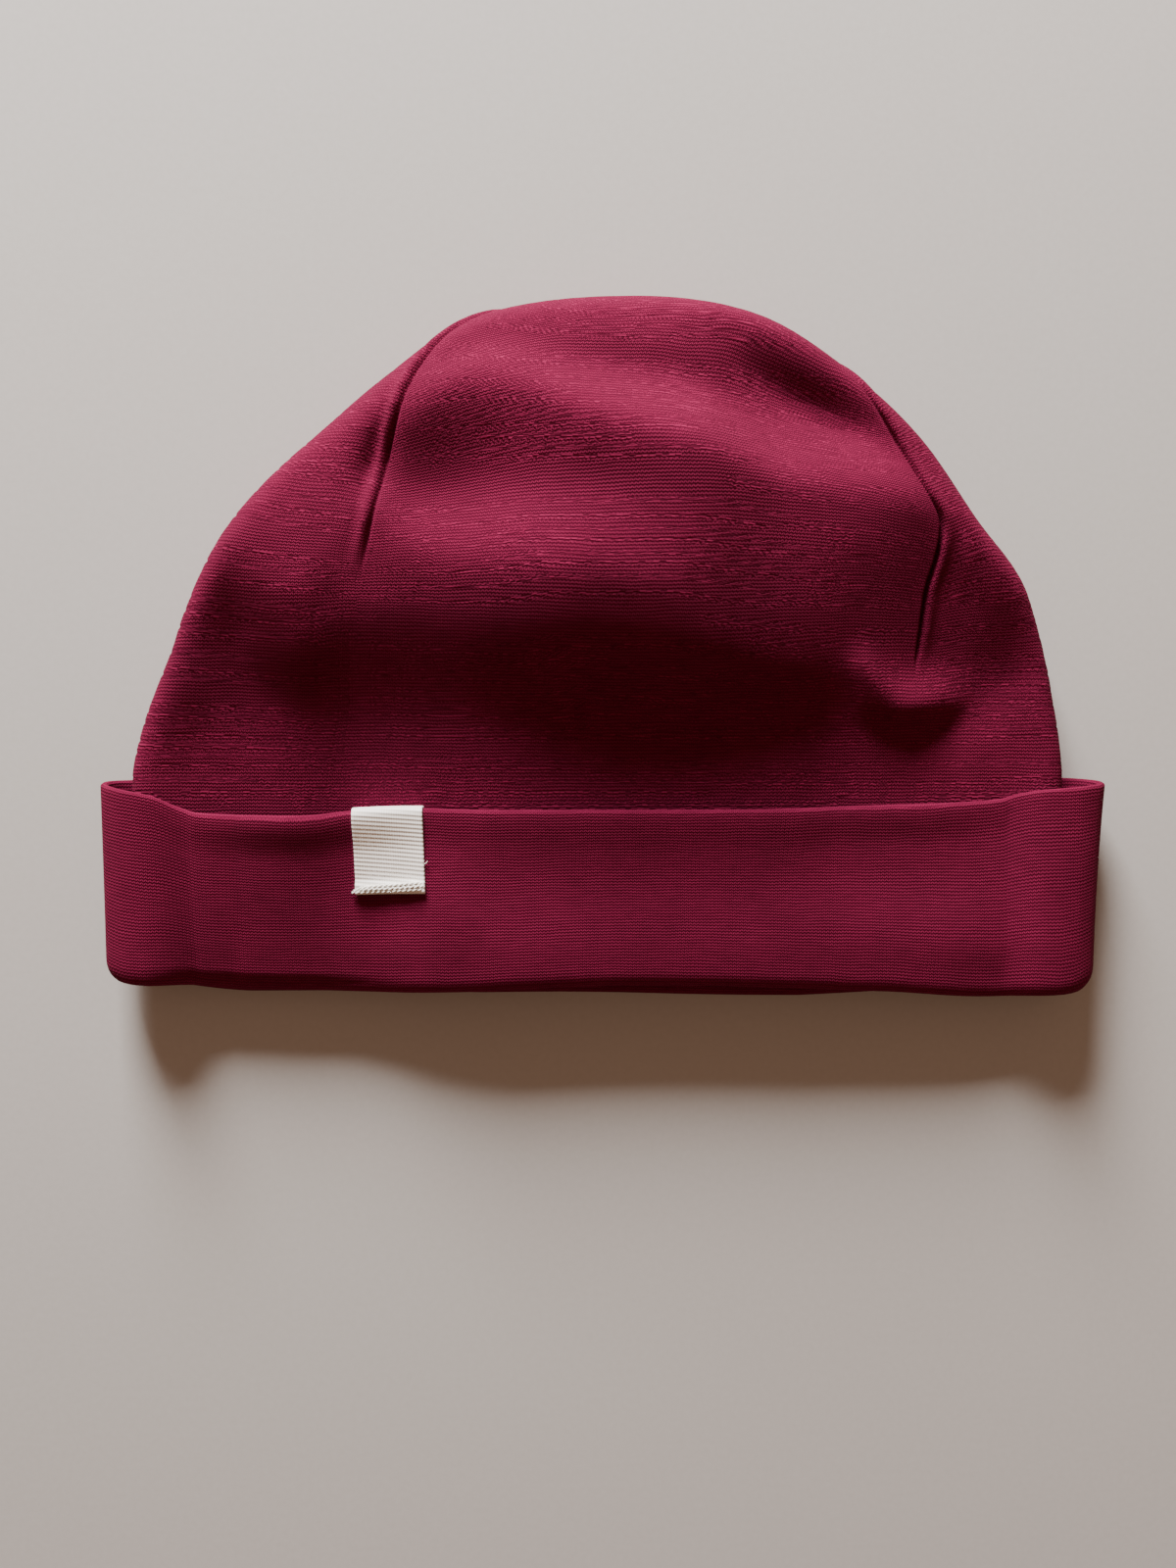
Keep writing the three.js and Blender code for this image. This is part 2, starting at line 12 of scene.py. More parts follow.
import bpy
import numpy as np
from mathutils import Matrix, Vector
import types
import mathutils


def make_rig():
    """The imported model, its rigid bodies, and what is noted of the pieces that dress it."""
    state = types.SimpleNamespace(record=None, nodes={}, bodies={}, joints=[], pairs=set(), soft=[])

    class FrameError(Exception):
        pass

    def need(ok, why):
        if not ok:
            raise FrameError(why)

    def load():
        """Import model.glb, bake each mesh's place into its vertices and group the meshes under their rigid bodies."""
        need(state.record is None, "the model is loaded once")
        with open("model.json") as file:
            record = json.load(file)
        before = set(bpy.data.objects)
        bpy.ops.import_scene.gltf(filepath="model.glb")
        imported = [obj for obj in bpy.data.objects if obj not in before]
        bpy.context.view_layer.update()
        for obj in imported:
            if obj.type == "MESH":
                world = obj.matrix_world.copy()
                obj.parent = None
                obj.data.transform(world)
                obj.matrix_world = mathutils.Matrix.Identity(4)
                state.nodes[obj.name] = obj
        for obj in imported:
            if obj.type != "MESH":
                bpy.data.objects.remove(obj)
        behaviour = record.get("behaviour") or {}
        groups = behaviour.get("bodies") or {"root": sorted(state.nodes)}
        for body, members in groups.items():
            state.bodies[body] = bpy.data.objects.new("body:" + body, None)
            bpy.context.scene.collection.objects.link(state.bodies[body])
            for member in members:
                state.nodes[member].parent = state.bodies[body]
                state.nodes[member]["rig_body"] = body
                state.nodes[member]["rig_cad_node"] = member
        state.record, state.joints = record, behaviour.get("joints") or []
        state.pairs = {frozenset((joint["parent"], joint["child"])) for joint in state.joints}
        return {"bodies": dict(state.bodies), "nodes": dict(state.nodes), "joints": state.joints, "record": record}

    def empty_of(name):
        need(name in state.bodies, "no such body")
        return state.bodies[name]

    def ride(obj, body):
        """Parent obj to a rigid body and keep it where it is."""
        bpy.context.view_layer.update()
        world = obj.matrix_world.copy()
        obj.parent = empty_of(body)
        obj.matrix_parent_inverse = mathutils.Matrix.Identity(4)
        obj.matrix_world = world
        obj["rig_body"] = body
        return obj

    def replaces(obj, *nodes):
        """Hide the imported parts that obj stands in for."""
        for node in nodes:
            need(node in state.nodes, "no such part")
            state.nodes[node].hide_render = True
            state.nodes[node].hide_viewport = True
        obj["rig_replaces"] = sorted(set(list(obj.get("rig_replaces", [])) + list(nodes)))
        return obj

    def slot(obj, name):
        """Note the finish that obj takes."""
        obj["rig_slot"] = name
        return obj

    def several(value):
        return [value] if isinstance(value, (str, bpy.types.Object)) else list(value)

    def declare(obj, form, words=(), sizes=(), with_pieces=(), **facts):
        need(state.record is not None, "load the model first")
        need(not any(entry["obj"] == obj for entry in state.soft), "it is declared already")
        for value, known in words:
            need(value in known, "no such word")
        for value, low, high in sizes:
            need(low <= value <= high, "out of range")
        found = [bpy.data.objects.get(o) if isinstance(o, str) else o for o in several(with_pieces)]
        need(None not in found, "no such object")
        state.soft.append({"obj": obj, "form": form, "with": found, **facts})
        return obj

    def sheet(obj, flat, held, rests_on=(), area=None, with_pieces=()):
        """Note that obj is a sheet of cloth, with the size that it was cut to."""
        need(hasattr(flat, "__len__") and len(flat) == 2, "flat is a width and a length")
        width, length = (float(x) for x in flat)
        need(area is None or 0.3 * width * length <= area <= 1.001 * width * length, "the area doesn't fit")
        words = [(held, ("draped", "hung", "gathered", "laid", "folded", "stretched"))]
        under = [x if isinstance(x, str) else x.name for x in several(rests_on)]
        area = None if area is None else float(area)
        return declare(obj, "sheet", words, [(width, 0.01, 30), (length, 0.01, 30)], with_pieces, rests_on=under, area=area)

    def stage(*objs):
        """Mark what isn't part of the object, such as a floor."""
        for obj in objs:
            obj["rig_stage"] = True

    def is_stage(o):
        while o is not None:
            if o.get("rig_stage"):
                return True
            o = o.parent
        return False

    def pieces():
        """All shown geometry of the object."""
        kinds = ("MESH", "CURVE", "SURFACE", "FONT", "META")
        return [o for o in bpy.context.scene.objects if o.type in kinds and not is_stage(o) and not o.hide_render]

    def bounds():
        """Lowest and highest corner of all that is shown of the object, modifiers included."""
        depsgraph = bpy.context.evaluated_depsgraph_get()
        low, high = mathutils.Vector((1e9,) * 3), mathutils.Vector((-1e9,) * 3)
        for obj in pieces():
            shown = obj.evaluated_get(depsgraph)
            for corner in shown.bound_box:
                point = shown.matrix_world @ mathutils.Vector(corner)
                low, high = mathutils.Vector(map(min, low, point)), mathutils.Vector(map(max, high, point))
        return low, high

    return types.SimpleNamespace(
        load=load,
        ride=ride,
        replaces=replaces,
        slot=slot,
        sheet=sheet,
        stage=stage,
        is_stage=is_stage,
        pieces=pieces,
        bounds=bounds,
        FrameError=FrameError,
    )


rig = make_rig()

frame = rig.load()
frame_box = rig.bounds()
scene = bpy.context.scene
MM = 0.001
print("frame nodes:", sorted(frame["nodes"]))

# %% [markdown]
# ## The camera
#
# The hat is seen from above and slightly from its mouth, close enough for the near edge to look
# larger than the far one. A camera can be aimed with constraints or by angles. Here its three
# axes are written as a matrix, because that keeps the place, the aim and the roll in one value.

# %% Camera
camera = bpy.data.objects.new("camera", bpy.data.cameras.new("camera"))
camera.data.lens = 27
camera.data.sensor_width = 36
camera.data.clip_start = 0.01
scene.collection.objects.link(camera)
scene.camera = camera

eye = Vector((-13.4, -9.3, 261.2)) * MM
forward = Vector((0.0362, -0.0695, -0.9969)).normalized()
right = forward.cross(Vector((0, 1, 0))).normalized()
up = right.cross(forward)
camera.matrix_world = Matrix(
    (
        (right.x, up.x, -forward.x, eye.x),
        (right.y, up.y, -forward.y, eye.y),
        (right.z, up.z, -forward.z, eye.z),
        (0, 0, 0, 1),
    )
)
print("camera height in mm:", round(eye.z / MM))

# %% [markdown]
# ## The sizes that shape the cloth
#
# A soft hat has no straight edges to measure, so its form is written as a few short tables, the
# same ones that shape the frame's solids: the outline by direction, the height of the upper
# sheet along sections that run from the top of the crown to the mouth, and a row for each fold.
# All of them are in millimetres. A smooth curve through each column gives the cloth between.

# %% Driving sizes in millimetres
WALL = 1.5  # two layers of jersey
CLEARANCE = 0.3  # between pieces that are sewn to each other

CROWN_X = -1.4  # middle of the dome's outline
CROWN_Y = -27.5  # where the dome ends and the straight tube begins
CROWN_RIM = -45.0  # the crown's lower edge, hidden behind the cuff
EDGE = 5.0  # plan width of the rounded edge between the upper and the lower sheet
RIM_BLEND = 16.0  # distance from the outline over which the sections take over from the edge
POLE_TILT = 36.0  # the four darts meet this far round towards the lower sheet
POLE_TURN = 14.0  # and this far round towards +X

CUFF_BACK_TOP = -25.0  # the turned-up edge on the lower side
CUFF_GAP = 1.0  # between the two legs of the band where they lie flat
CUFF_STAND_LEFT = 3.2  # added to that gap where the band stands off the crown at its ends
CUFF_STAND_RIGHT = 5.0
CUFF_ROLL_FADE = 8.0  # length over which the rolled top edge flattens into the band
CUFF_FLARE_LEFT = 0.05  # share by which the turned-up edge stands off further than the mouth
CUFF_FLARE_RIGHT = 0.28
MOUTH_ROUND = 3.4  # how far the fold at the mouth reaches, measured along Y

LABEL_LEFT = -53.3
LABEL_RIGHT = -38.6
LABEL_END = -49.8  # the sewn end on the front of the cuff
LABEL_TUCK = 9.0  # length hidden behind the cuff
LABEL_TAPE = 0.4  # thickness of the tape
LABEL_LEAN = -0.03  # the tape leans a little to the left on its way up

# %% Tables of the form


def table(names, rows):
    """Rows of numbers as one array for each named column."""
    return dict(zip(names.split(), np.array(rows, float).T))


# Radius of the crown's outline about its middle, by direction in degrees.
OUTLINE = table("turn radius", [
    [0, 101.6],
    [12, 100.9],
    [24, 101.0],
    [36, 98.0],
    [48, 100.2],
    [60, 102.3],
    [72, 104.6],
    [90, 102.5],
    [105, 101.3],
    [118, 96.5],
    [130, 94.2],
    [151, 95.4],
    [161, 95.5],
    [172, 98.7],
    [180, 100.6],
])

# Height of the middle of the rounded edge, by direction in degrees.
EDGE_HEIGHT = table("turn height", [
    [0, 6.3],
    [18, 6.8],
    [34, 8.8],
    [60, 8.2],
    [90, 8.4],
    [118, 9.0],
    [142, 10.3],
    [156, 8.6],
    [180, 6.3],
])

# Sections across the upper sheet, one row for each station in x. Each runs over the same
# features from the top of the crown to the mouth, with a place and a height for each.
SECTIONS = table(
    "x shoulder_y shoulder_z roll_y roll_z dip_y dip_z brow_y brow_z"
    " knee_y knee_z foot_y foot_z hem_z face_z band_z mouth_z",
    [
        [-86, 26, 17.0, 20, 17.2, 14, 16.8, 6, 15.2, -6, 12.6, -20, 9.8, 8.6, 7.9, 7.0, 6.2],
        [-78, 32, 20.6, 28, 22.0, 23, 22.2, 17, 20.4, 4, 14.8, -9, 10.5, 7.6, 7.0, 6.4, 5.9],
        [-64, 42, 19.4, 34, 20.4, 26, 21.4, 15, 21.5, 5, 19.2, -14, 11.0, 8.0, 7.4, 6.8, 6.1],
        [-51, 51, 20.4, 46, 22.1, 37, 21.5, 28, 21.9, 12, 20.4, -15, 10.8, 8.7, 8.4, 8.2, 7.5],
        [-39, 62, 21.3, 53, 23.4, 34, 19.8, 20, 22.9, 12, 21.8, -16, 11.5, 9.2, 9.4, 10.1, 9.5],
        [-24, 64, 20.8, 53, 24.5, 35, 21.8, 18, 25.7, 10, 24.4, -16, 13.0, 10.7, 10.7, 11.1, 10.7],
        [-4, 61, 20.6, 46, 28.8, 34, 27.2, 18, 29.2, 9, 27.2, -15, 13.6, 10.7, 10.7, 11.1, 10.7],
        [16, 58, 19.0, 40, 30.0, 28, 29.0, 15, 27.5, 5, 25.1, -15, 13.6, 10.7, 10.7, 11.1, 10.7],
        [36, 51, 15.4, 33, 24.8, 26, 24.5, 14, 23.4, 0, 20.6, -15, 13.1, 10.6, 10.6, 11.1, 10.7],
        [47, 50, 14.8, 32, 22.4, 26, 22.2, 14, 20.6, -1, 17.4, -16, 11.8, 9.8, 10.0, 10.9, 10.4],
        [59, 46, 15.6, 32, 20.6, 26, 19.8, 12, 16.9, -5, 13.5, -18, 10.9, 9.4, 9.7, 10.7, 10.2],
        [72, 38, 16.4, 32, 18.6, 25, 17.2, 12, 13.9, -4, 11.0, -18, 9.5, 9.0, 9.1, 10.3, 9.6],
        [86, 24, 18.4, 20, 18.2, 15, 16.8, 6, 13.4, -6, 10.7, -18, 9.6, 8.5, 8.9, 9.5, 8.6],
    ],
)
HEM_Y = -33.0
FACE_Y = -44.0
BAND_Y = -61.0
MOUTH_Y = -72.0

# Smaller folds and dents across the sections: the middle of the crease, the direction it runs
# in, half of its length, how far its ends bend, its width on either side and its height.
FOLDS = table("x y turn half bow above below height", [
    [41, 52.5, -28, 24, 0, 4, 5, -2.6],
    [-47.5, 40, 76, 12, 0, 3.4, 3.6, -2.7],
    [-80, 8, 70, 18, 0, 4.5, 5, -1.2],
    [66, -10.5, 4, 17, 3, 6, 3.2, 3.6],
    [54.5, -4, -58, 9, 0, 3.4, 3, 1.8],
    [82, -6, 42, 20, 0, 10, 6, -1.6],
])

# The darts, counter-clockwise from the right of the upper sheet. Level 0 is the crown's middle
# and level 1 the top of the tube; turn is the dart's place round the hat in degrees.
DARTS = [
    {
        "name": "front_right", "tip": 0.83, "roll": 0.35, "roll_side": -1,
        "path": table("level turn depth", [
            [0, 56, 0.5],
            [0.32, 45, 0.6],
            [0.40, 39.5, 0.7],
            [0.49, 32.5, 0.7],
            [0.55, 27.5, 0.9],
            [0.6, 24, 1.6],
            [0.64, 25.2, 2.4],
            [0.7, 28.5, 2.6],
            [0.81, 31.5, 2.4],
            [1, 33, 2.4],
        ]),
    },
    {
        "name": "front_left", "tip": 0.71, "roll": 0.65, "roll_side": 1,
        "path": table("level turn depth", [
            [0, 112, 0.5],
            [0.32, 125.5, 0.6],
            [0.41, 137, 0.7],
            [0.47, 139.5, 0.8],
            [0.58, 139.5, 0.8],
            [0.7, 139, 0.8],
            [1, 138, 0.8],
        ]),
    },
    {
        "name": "back_left", "tip": 0.75, "roll": 0.0, "roll_side": -1,
        "path": table("level turn depth", [[0, 222, 0.6], [1, 222, 0.6]]),
    },
    {
        "name": "back_right", "tip": 0.75, "roll": 0.0, "roll_side": 1,
        "path": table("level turn depth", [[0, 312, 0.6], [1, 312, 0.6]]),
    },
]

# The fold at the mouth on the upper side, from the left end to the right.
MOUTH = table("x y", [
    [-108, -67.0],
    [-98, -69.3],
    [-72, -71.8],
    [-48, -72.0],
    [5, -70.4],
    [60, -72.3],
    [84, -74.0],
    [104, -72.5],
    [108, -71.5],
])

# The turned-up edge on the upper side, and how far its roll swells out of the band's face.
CUFF_RIM = table("x y swell", [
    [-108, -25.0, 0.7],
    [-99, -29.2, 1.0],
    [-92, -32.0, 1.3],
    [-80, -32.8, 1.5],
    [-64, -33.0, 1.5],
    [-51, -31.9, 1.0],
    [-41, -31.7, 0.6],
    [-22, -32.0, 0.35],
    [30, -32.0, 0.35],
    [50, -31.5, 0.6],
    [79, -30.7, 0.9],
    [96, -29.1, 0.7],
    [108, -27.0, 0.6],
])

# Soft creases on the face of the cuff, in the same columns as FOLDS.
CUFF_FOLDS = table("x y turn half bow above below height", [
    [-34, -50, -70, 18, 0, 3, 5, 0.7],
    [-84, -36, 0, 44, 0, 12, 28, 4.8],
    [12, -32, 0, 95, 0, 12, 11, 1.6],
])
print("sections:", len(SECTIONS["x"]), "folds:", len(FOLDS["x"]), "darts:", len(DARTS))

# %% Smooth curves through the tables


def ease(t):
    """0 before 0, 1 after 1, and a smooth rise between."""
    t = np.clip(t, 0, 1)
    return t * t * (3 - 2 * t)


def through(x, xs, ys):
    """A smooth curve through (xs, ys) that never swings past its points. Rows of xs and ys may
    be arrays, one curve for each x."""
    xs = [np.broadcast_to(v, x.shape) for v in xs]
    ys = [np.broadcast_to(v, x.shape) for v in ys]
    last = len(xs) - 1
    rise = [(ys[i + 1] - ys[i]) / (xs[i + 1] - xs[i]) for i in range(last)]
    slope = [np.zeros(x.shape)]
    for i in range(1, last):
        before = xs[i] - xs[i - 1]
        after = xs[i + 1] - xs[i]
        same = rise[i - 1] * rise[i] > 0
        first = np.where(same, rise[i - 1], 1)
        second = np.where(same, rise[i], 1)
        w1 = 2 * after + before
        w2 = after + 2 * before
        slope.append(np.where(same, (w1 + w2) / (w1 / first + w2 / second), 0))
    slope.append(np.zeros(x.shape))
    result = np.array(ys[0], float)
    for i in range(last):
        h = xs[i + 1] - xs[i]
        t = np.clip((x - xs[i]) / h, 0, 1)
        s = 1 - t
        start = s * s * ((1 + 2 * t) * ys[i] + t * h * slope[i])
        end = t * t * ((1 + 2 * s) * ys[i + 1] - s * h * slope[i + 1])
        result = np.where((x >= xs[i]) if i else np.full(x.shape, True), start + end, result)
    return result


def column(rows, x, y, at):
    """The column y of a table at the value `at` of its column x."""
    return through(np.asarray(at, float), list(rows[x]), list(rows[y]))


print("outline at the top:", column(OUTLINE, "turn", "radius", np.array([90.0])))

# %% [markdown]
# ## The form of the hat's body
#
# Seen from above, the empty hat is two sheets that meet in a rounded edge. A mesh for it could be
# sculpted, or draped by a simulation, but a sculpture can't be read and a simulation can't be
# told where a fold lies. So the body is a function: a direction on a ball gives a place between
# the two sheets, and the tables give the height there. Crown and cuff both hang on this body.

# %% Height of the upper sheet


def section_height(x, y):
    """Height of the plain sections through the upper sheet."""
    x = np.clip(x, SECTIONS["x"][0], SECTIONS["x"][-1])
    at = {name: column(SECTIONS, "x", name, x) for name in SECTIONS if name != "x"}
    ys = [MOUTH_Y, BAND_Y, FACE_Y, HEM_Y, at["foot_y"], at["knee_y"], at["brow_y"],
          at["dip_y"], at["roll_y"], at["shoulder_y"], at["shoulder_y"] + 30]
    zs = [at["mouth_z"], at["band_z"], at["face_z"], at["hem_z"], at["foot_z"], at["knee_z"],
          at["brow_z"], at["dip_z"], at["roll_z"], at["shoulder_z"], at["shoulder_z"]]
    return through(y, ys, zs)


def fold_height(rows, x, y):
    """Sum of the small folds of a table."""
    total = np.zeros(np.shape(x))
    for fx, fy, turn, half, bow, above, below, height in zip(*rows.values()):
        c, s = math.cos(math.radians(turn)), math.sin(math.radians(turn))
        along = ((x - fx) * c + (y - fy) * s) / half
        across = (y - fy) * c - (x - fx) * s - bow * along**2
        width = np.where(across > 0, above, below)
        total = total + height * np.clip(1 - along**2, 0, 1) ** 2 * np.exp(-((across / width) ** 2))
    return total


def underside(y):
    """Height of the lower sheet, which is lifted where the turned-up cuff passes below it."""
    return (WALL + CUFF_GAP) * ease((CROWN_Y + 18 - y) / 15)


def top_height(x, y, turn, inside):
    """Height of the upper sheet, at a distance inside the outline."""
    rim = 2 * column(EDGE_HEIGHT, "turn", "height", turn)
    blend = ease((inside + 2) / RIM_BLEND)
    folds = fold_height(FOLDS, x, y) * ease((inside + 3) / 10)
    return rim + (section_height(x, y) - rim) * blend + folds


# %% Points on the body


def body(turn, level, tube=0.0):
    """Outer face of the body: turn round it in degrees, level from the crown's middle (0) to the
    top of the tube (1), and the distance down the tube."""
    turn, level, tube = np.broadcast_arrays(
        np.asarray(turn, float), np.asarray(level, float), np.asarray(tube, float))
    fall = np.radians(90 * level)
    around = np.radians(turn)
    ball = np.stack([np.sin(fall) * np.cos(around), np.cos(fall), np.sin(fall) * np.sin(around)], -1)
    lean = math.radians(POLE_TURN)
    axis = np.array([-math.cos(lean), 0, -math.sin(lean)])
    swing = np.radians(POLE_TILT * (1 - level))[..., None]
    ball = (ball * np.cos(swing) + np.cross(np.broadcast_to(axis, ball.shape), ball) * np.sin(swing)
            + axis * (ball @ axis)[..., None] * (1 - np.cos(swing)))
    from_top = np.degrees(np.arccos(np.clip(ball[..., 2], -1, 1)))
    heading = np.degrees(np.arctan2(np.maximum(ball[..., 1], 0), ball[..., 0]))
    radius = column(OUTLINE, "turn", "radius", heading)
    flat = radius - EDGE
    upper = from_top <= 90
    reach = np.where(upper, from_top, 180 - from_top) / 90 * (flat + math.pi / 2 * EDGE)
    bend = np.clip((reach - flat) / EDGE, 0, math.pi / 2)
    plan = np.minimum(reach, flat) + EDGE * np.sin(bend)
    x = CROWN_X + plan * np.cos(np.radians(heading))
    y = CROWN_Y + plan * np.sin(np.radians(heading)) - tube
    low = underside(y)
    middle = column(EDGE_HEIGHT, "turn", "height", heading) + low / 2
    far = np.where(upper, top_height(x, y, heading, radius - plan), low)
    return np.stack([x, y, middle + (far - middle) * np.cos(bend)], -1)


points = body(np.array([0, 90, 180, 270]), 1.0)
print("the tube's ring in mm:", points.round(1).tolist())

# %% [markdown]
# ## The crown
#
# On the real hat the crown is a tube of jersey closed at the top by four darts: narrow wedges of
# cloth that are folded inside and sewn, so that the outside shows only a seam that sinks a
# little, with the cloth swelling beside it. It could be four separate gores, but then each seam
# would have to be matched edge to edge. One ball whose columns follow the darts keeps the seams
# closed, and its lower half, pushed up inside the upper half, becomes the inner face.

# %% Rows and columns of the crown
PANEL_COLUMNS = [170, 84, 100, 84]  # front, left side, back, right side
CROWDING = 0.82  # draws the columns of a panel towards the darts beside it
DOME_ROWS = 128
TUBE_ROWS = 8
INNER_ROWS = 30
INNER_TUBE_ROWS = 4
SMOOTHING_PASSES = 6

panel_of = np.repeat(np.arange(4), PANEL_COLUMNS)
panel_start = np.cumsum([0] + PANEL_COLUMNS)
even = np.concatenate([np.arange(n) / n for n in PANEL_COLUMNS])
part_of = even - CROWDING * np.sin(2 * np.pi * even) / (2 * np.pi)
columns = len(panel_of)


def dart_turn(k, level):
    """Turn of dart k at each level."""
    return column(DARTS[k]["path"], "level", "turn", level)


def crown_turn(level):
    """Turn of every column at each level, one row for each level."""
    darts = [dart_turn(k, level) for k in range(4)]
    darts.append(darts[0] + 360)
    start = np.stack([darts[k] for k in panel_of], -1)
    end = np.stack([darts[k + 1] for k in panel_of], -1)
    return start + (end - start) * part_of


def crown_grid(level, tube):
    """Points of the body for rows of (level, tube), smoothed a little as knitted cloth is."""
    grid = body(crown_turn(level), level[:, None], tube[:, None])
    for _ in range(SMOOTHING_PASSES):
        around = (np.roll(grid, 1, 1) + np.roll(grid, -1, 1)) / 2
        along = (grid[:-2] + grid[2:]) / 2
        grid[1:-1] = grid[1:-1] * 0.5 + along * 0.25 + around[1:-1] * 0.25
    return grid


def outward(grid):
    """Outward normal at every point of a grid of rings."""
    around = np.roll(grid, -1, 1) - np.roll(grid, 1, 1)
    down = np.gradient(grid, axis=0)
    normal = np.cross(around, down)
    return normal / np.linalg.norm(normal, axis=-1, keepdims=True)


def ring_distance(grid, column_index):
    """Signed distance along each ring from one column, counter-clockwise positive."""
    step = np.linalg.norm(np.roll(grid, -1, 1) - grid, axis=-1)
    along = np.cumsum(step, 1) - step
    total = step.sum(1)[:, None]
    gap = along - along[:, [column_index]]
    return gap - total * np.round(gap / total)


print("crown columns:", columns, "rows:", DOME_ROWS + TUBE_ROWS + INNER_ROWS + INNER_TUBE_ROWS)

# %% Seams of the darts
SEAM_WIDTH = 0.42  # the sunk line of the stitching
ROLL_OFFSET = 1.5  # middle of the swelling beside it, where the folded-in cloth lies
ROLL_WIDTH = 1.0
ROLL_FROM = 0.25  # level from which it swells; nearer the middle the dart is on the lower sheet
ROLL_RISE = 0.08  # levels over which the swelling reaches its full height
FAR_GROOVE = 0.3  # share of the swelling that sinks again on its far side
FAR_GROOVE_OFFSET = 2.0
SEAM_FADE_TIP = 0.08  # levels over which a seam fades out at its lower end
SEAM_FADE_MIDDLE = 0.12  # and at the crown's middle


def seam_relief(grid, level):
    """Height of the seams above the plain cloth: a sunk line with a swelling beside it."""
    relief = np.zeros(grid.shape[:2])
    for k, dart in enumerate(DARTS):
        away = ring_distance(grid, panel_start[k])
        sewn = ease((dart["tip"] - level) / SEAM_FADE_TIP) * ease(level / SEAM_FADE_MIDDLE)
        sunk = np.exp(-((away / SEAM_WIDTH) ** 2))
        fine = column(dart["path"], "level", "depth", level) * sewn
        rolled = dart["roll"] * sewn * ease((level - ROLL_FROM) / ROLL_RISE)
        beside = away * dart["roll_side"] - ROLL_OFFSET
        groove = np.exp(-(((beside - FAR_GROOVE_OFFSET) / ROLL_WIDTH) ** 2))
        swell = np.exp(-((beside / ROLL_WIDTH) ** 2)) - FAR_GROOVE * groove
        relief += rolled[:, None] * swell - fine[:, None] * sunk
    return relief


# %% Shape the crown from a ball
rows_outer = np.concatenate([np.arange(1, DOME_ROWS + 1) / DOME_ROWS, np.ones(TUBE_ROWS)])
tube_outer = np.concatenate(
    [np.zeros(DOME_ROWS), np.arange(1, TUBE_ROWS + 1) / TUBE_ROWS * (CROWN_Y - CROWN_RIM)])
rows_inner = np.concatenate([np.arange(1, INNER_ROWS + 1) / INNER_ROWS, np.ones(INNER_TUBE_ROWS)])
tube_inner = np.concatenate(
    [np.zeros(INNER_ROWS), np.arange(1, INNER_TUBE_ROWS + 1) / INNER_TUBE_ROWS * (CROWN_Y - CROWN_RIM)])

outer = crown_grid(rows_outer, tube_outer)
outer += outward(outer) * seam_relief(outer, rows_outer)[..., None]
inner = crown_grid(rows_inner, tube_inner)
inner -= outward(inner) * WALL
crown_rows = np.concatenate([outer, inner[::-1]])

ring_count = len(crown_rows) + 1
bpy.ops.object.select_all(action="DESELECT")
bpy.ops.mesh.primitive_uv_sphere_add(segments=columns, ring_count=ring_count, radius=1)
crown = bpy.context.object
crown.name = "crown_cloth"


def vertices_of(mesh):
    """Places of all vertices of a mesh, one row for each."""
    co = np.empty(len(mesh.vertices) * 3)
    mesh.vertices.foreach_get("co", co)
    return co.reshape(-1, 3)


ball = vertices_of(crown.data)
ball_row = np.rint(np.arccos(np.clip(ball[:, 2], -1, 1)) / np.pi * ring_count).astype(int)
ball_column = np.rint(-np.arctan2(ball[:, 1], ball[:, 0]) / (2 * np.pi) * columns).astype(int) % columns
placed = crown_rows[np.clip(ball_row - 1, 0, ring_count - 2), ball_column]
placed[ball_row == 0] = outer[0].mean(0)
placed[ball_row == ring_count] = inner[0].mean(0)
crown.data.vertices.foreach_set("co", (placed * MM).ravel())
crown.data.update()
print("crown:", len(crown.data.polygons), "faces")

# %% [markdown]
# ## Which way the knit runs
#
# Jersey has wales that run up the hat and courses that run round it. On the real cloth both stay
# straight within a panel and stop at a seam, where the next panel's run in at another angle. A
# pattern on object coordinates would cut through the folds, so each piece gets a UV map in real
# millimetres: across a panel it is the distance from the panel's middle wale, and up the panel
# it is the distance from the tube, bent as a ring bends when its gore is laid flat.

# %% UV map of the crown
WALE = 0.8  # width of one column of stitches
COURSE = 0.74  # height of one row


def length_up(grid):
    """Distance up every column from its lowest row."""
    step = np.linalg.norm(np.diff(grid, axis=0), axis=-1)
    return np.concatenate([np.cumsum(step[::-1], 0)[::-1], np.zeros((1, grid.shape[1]))])


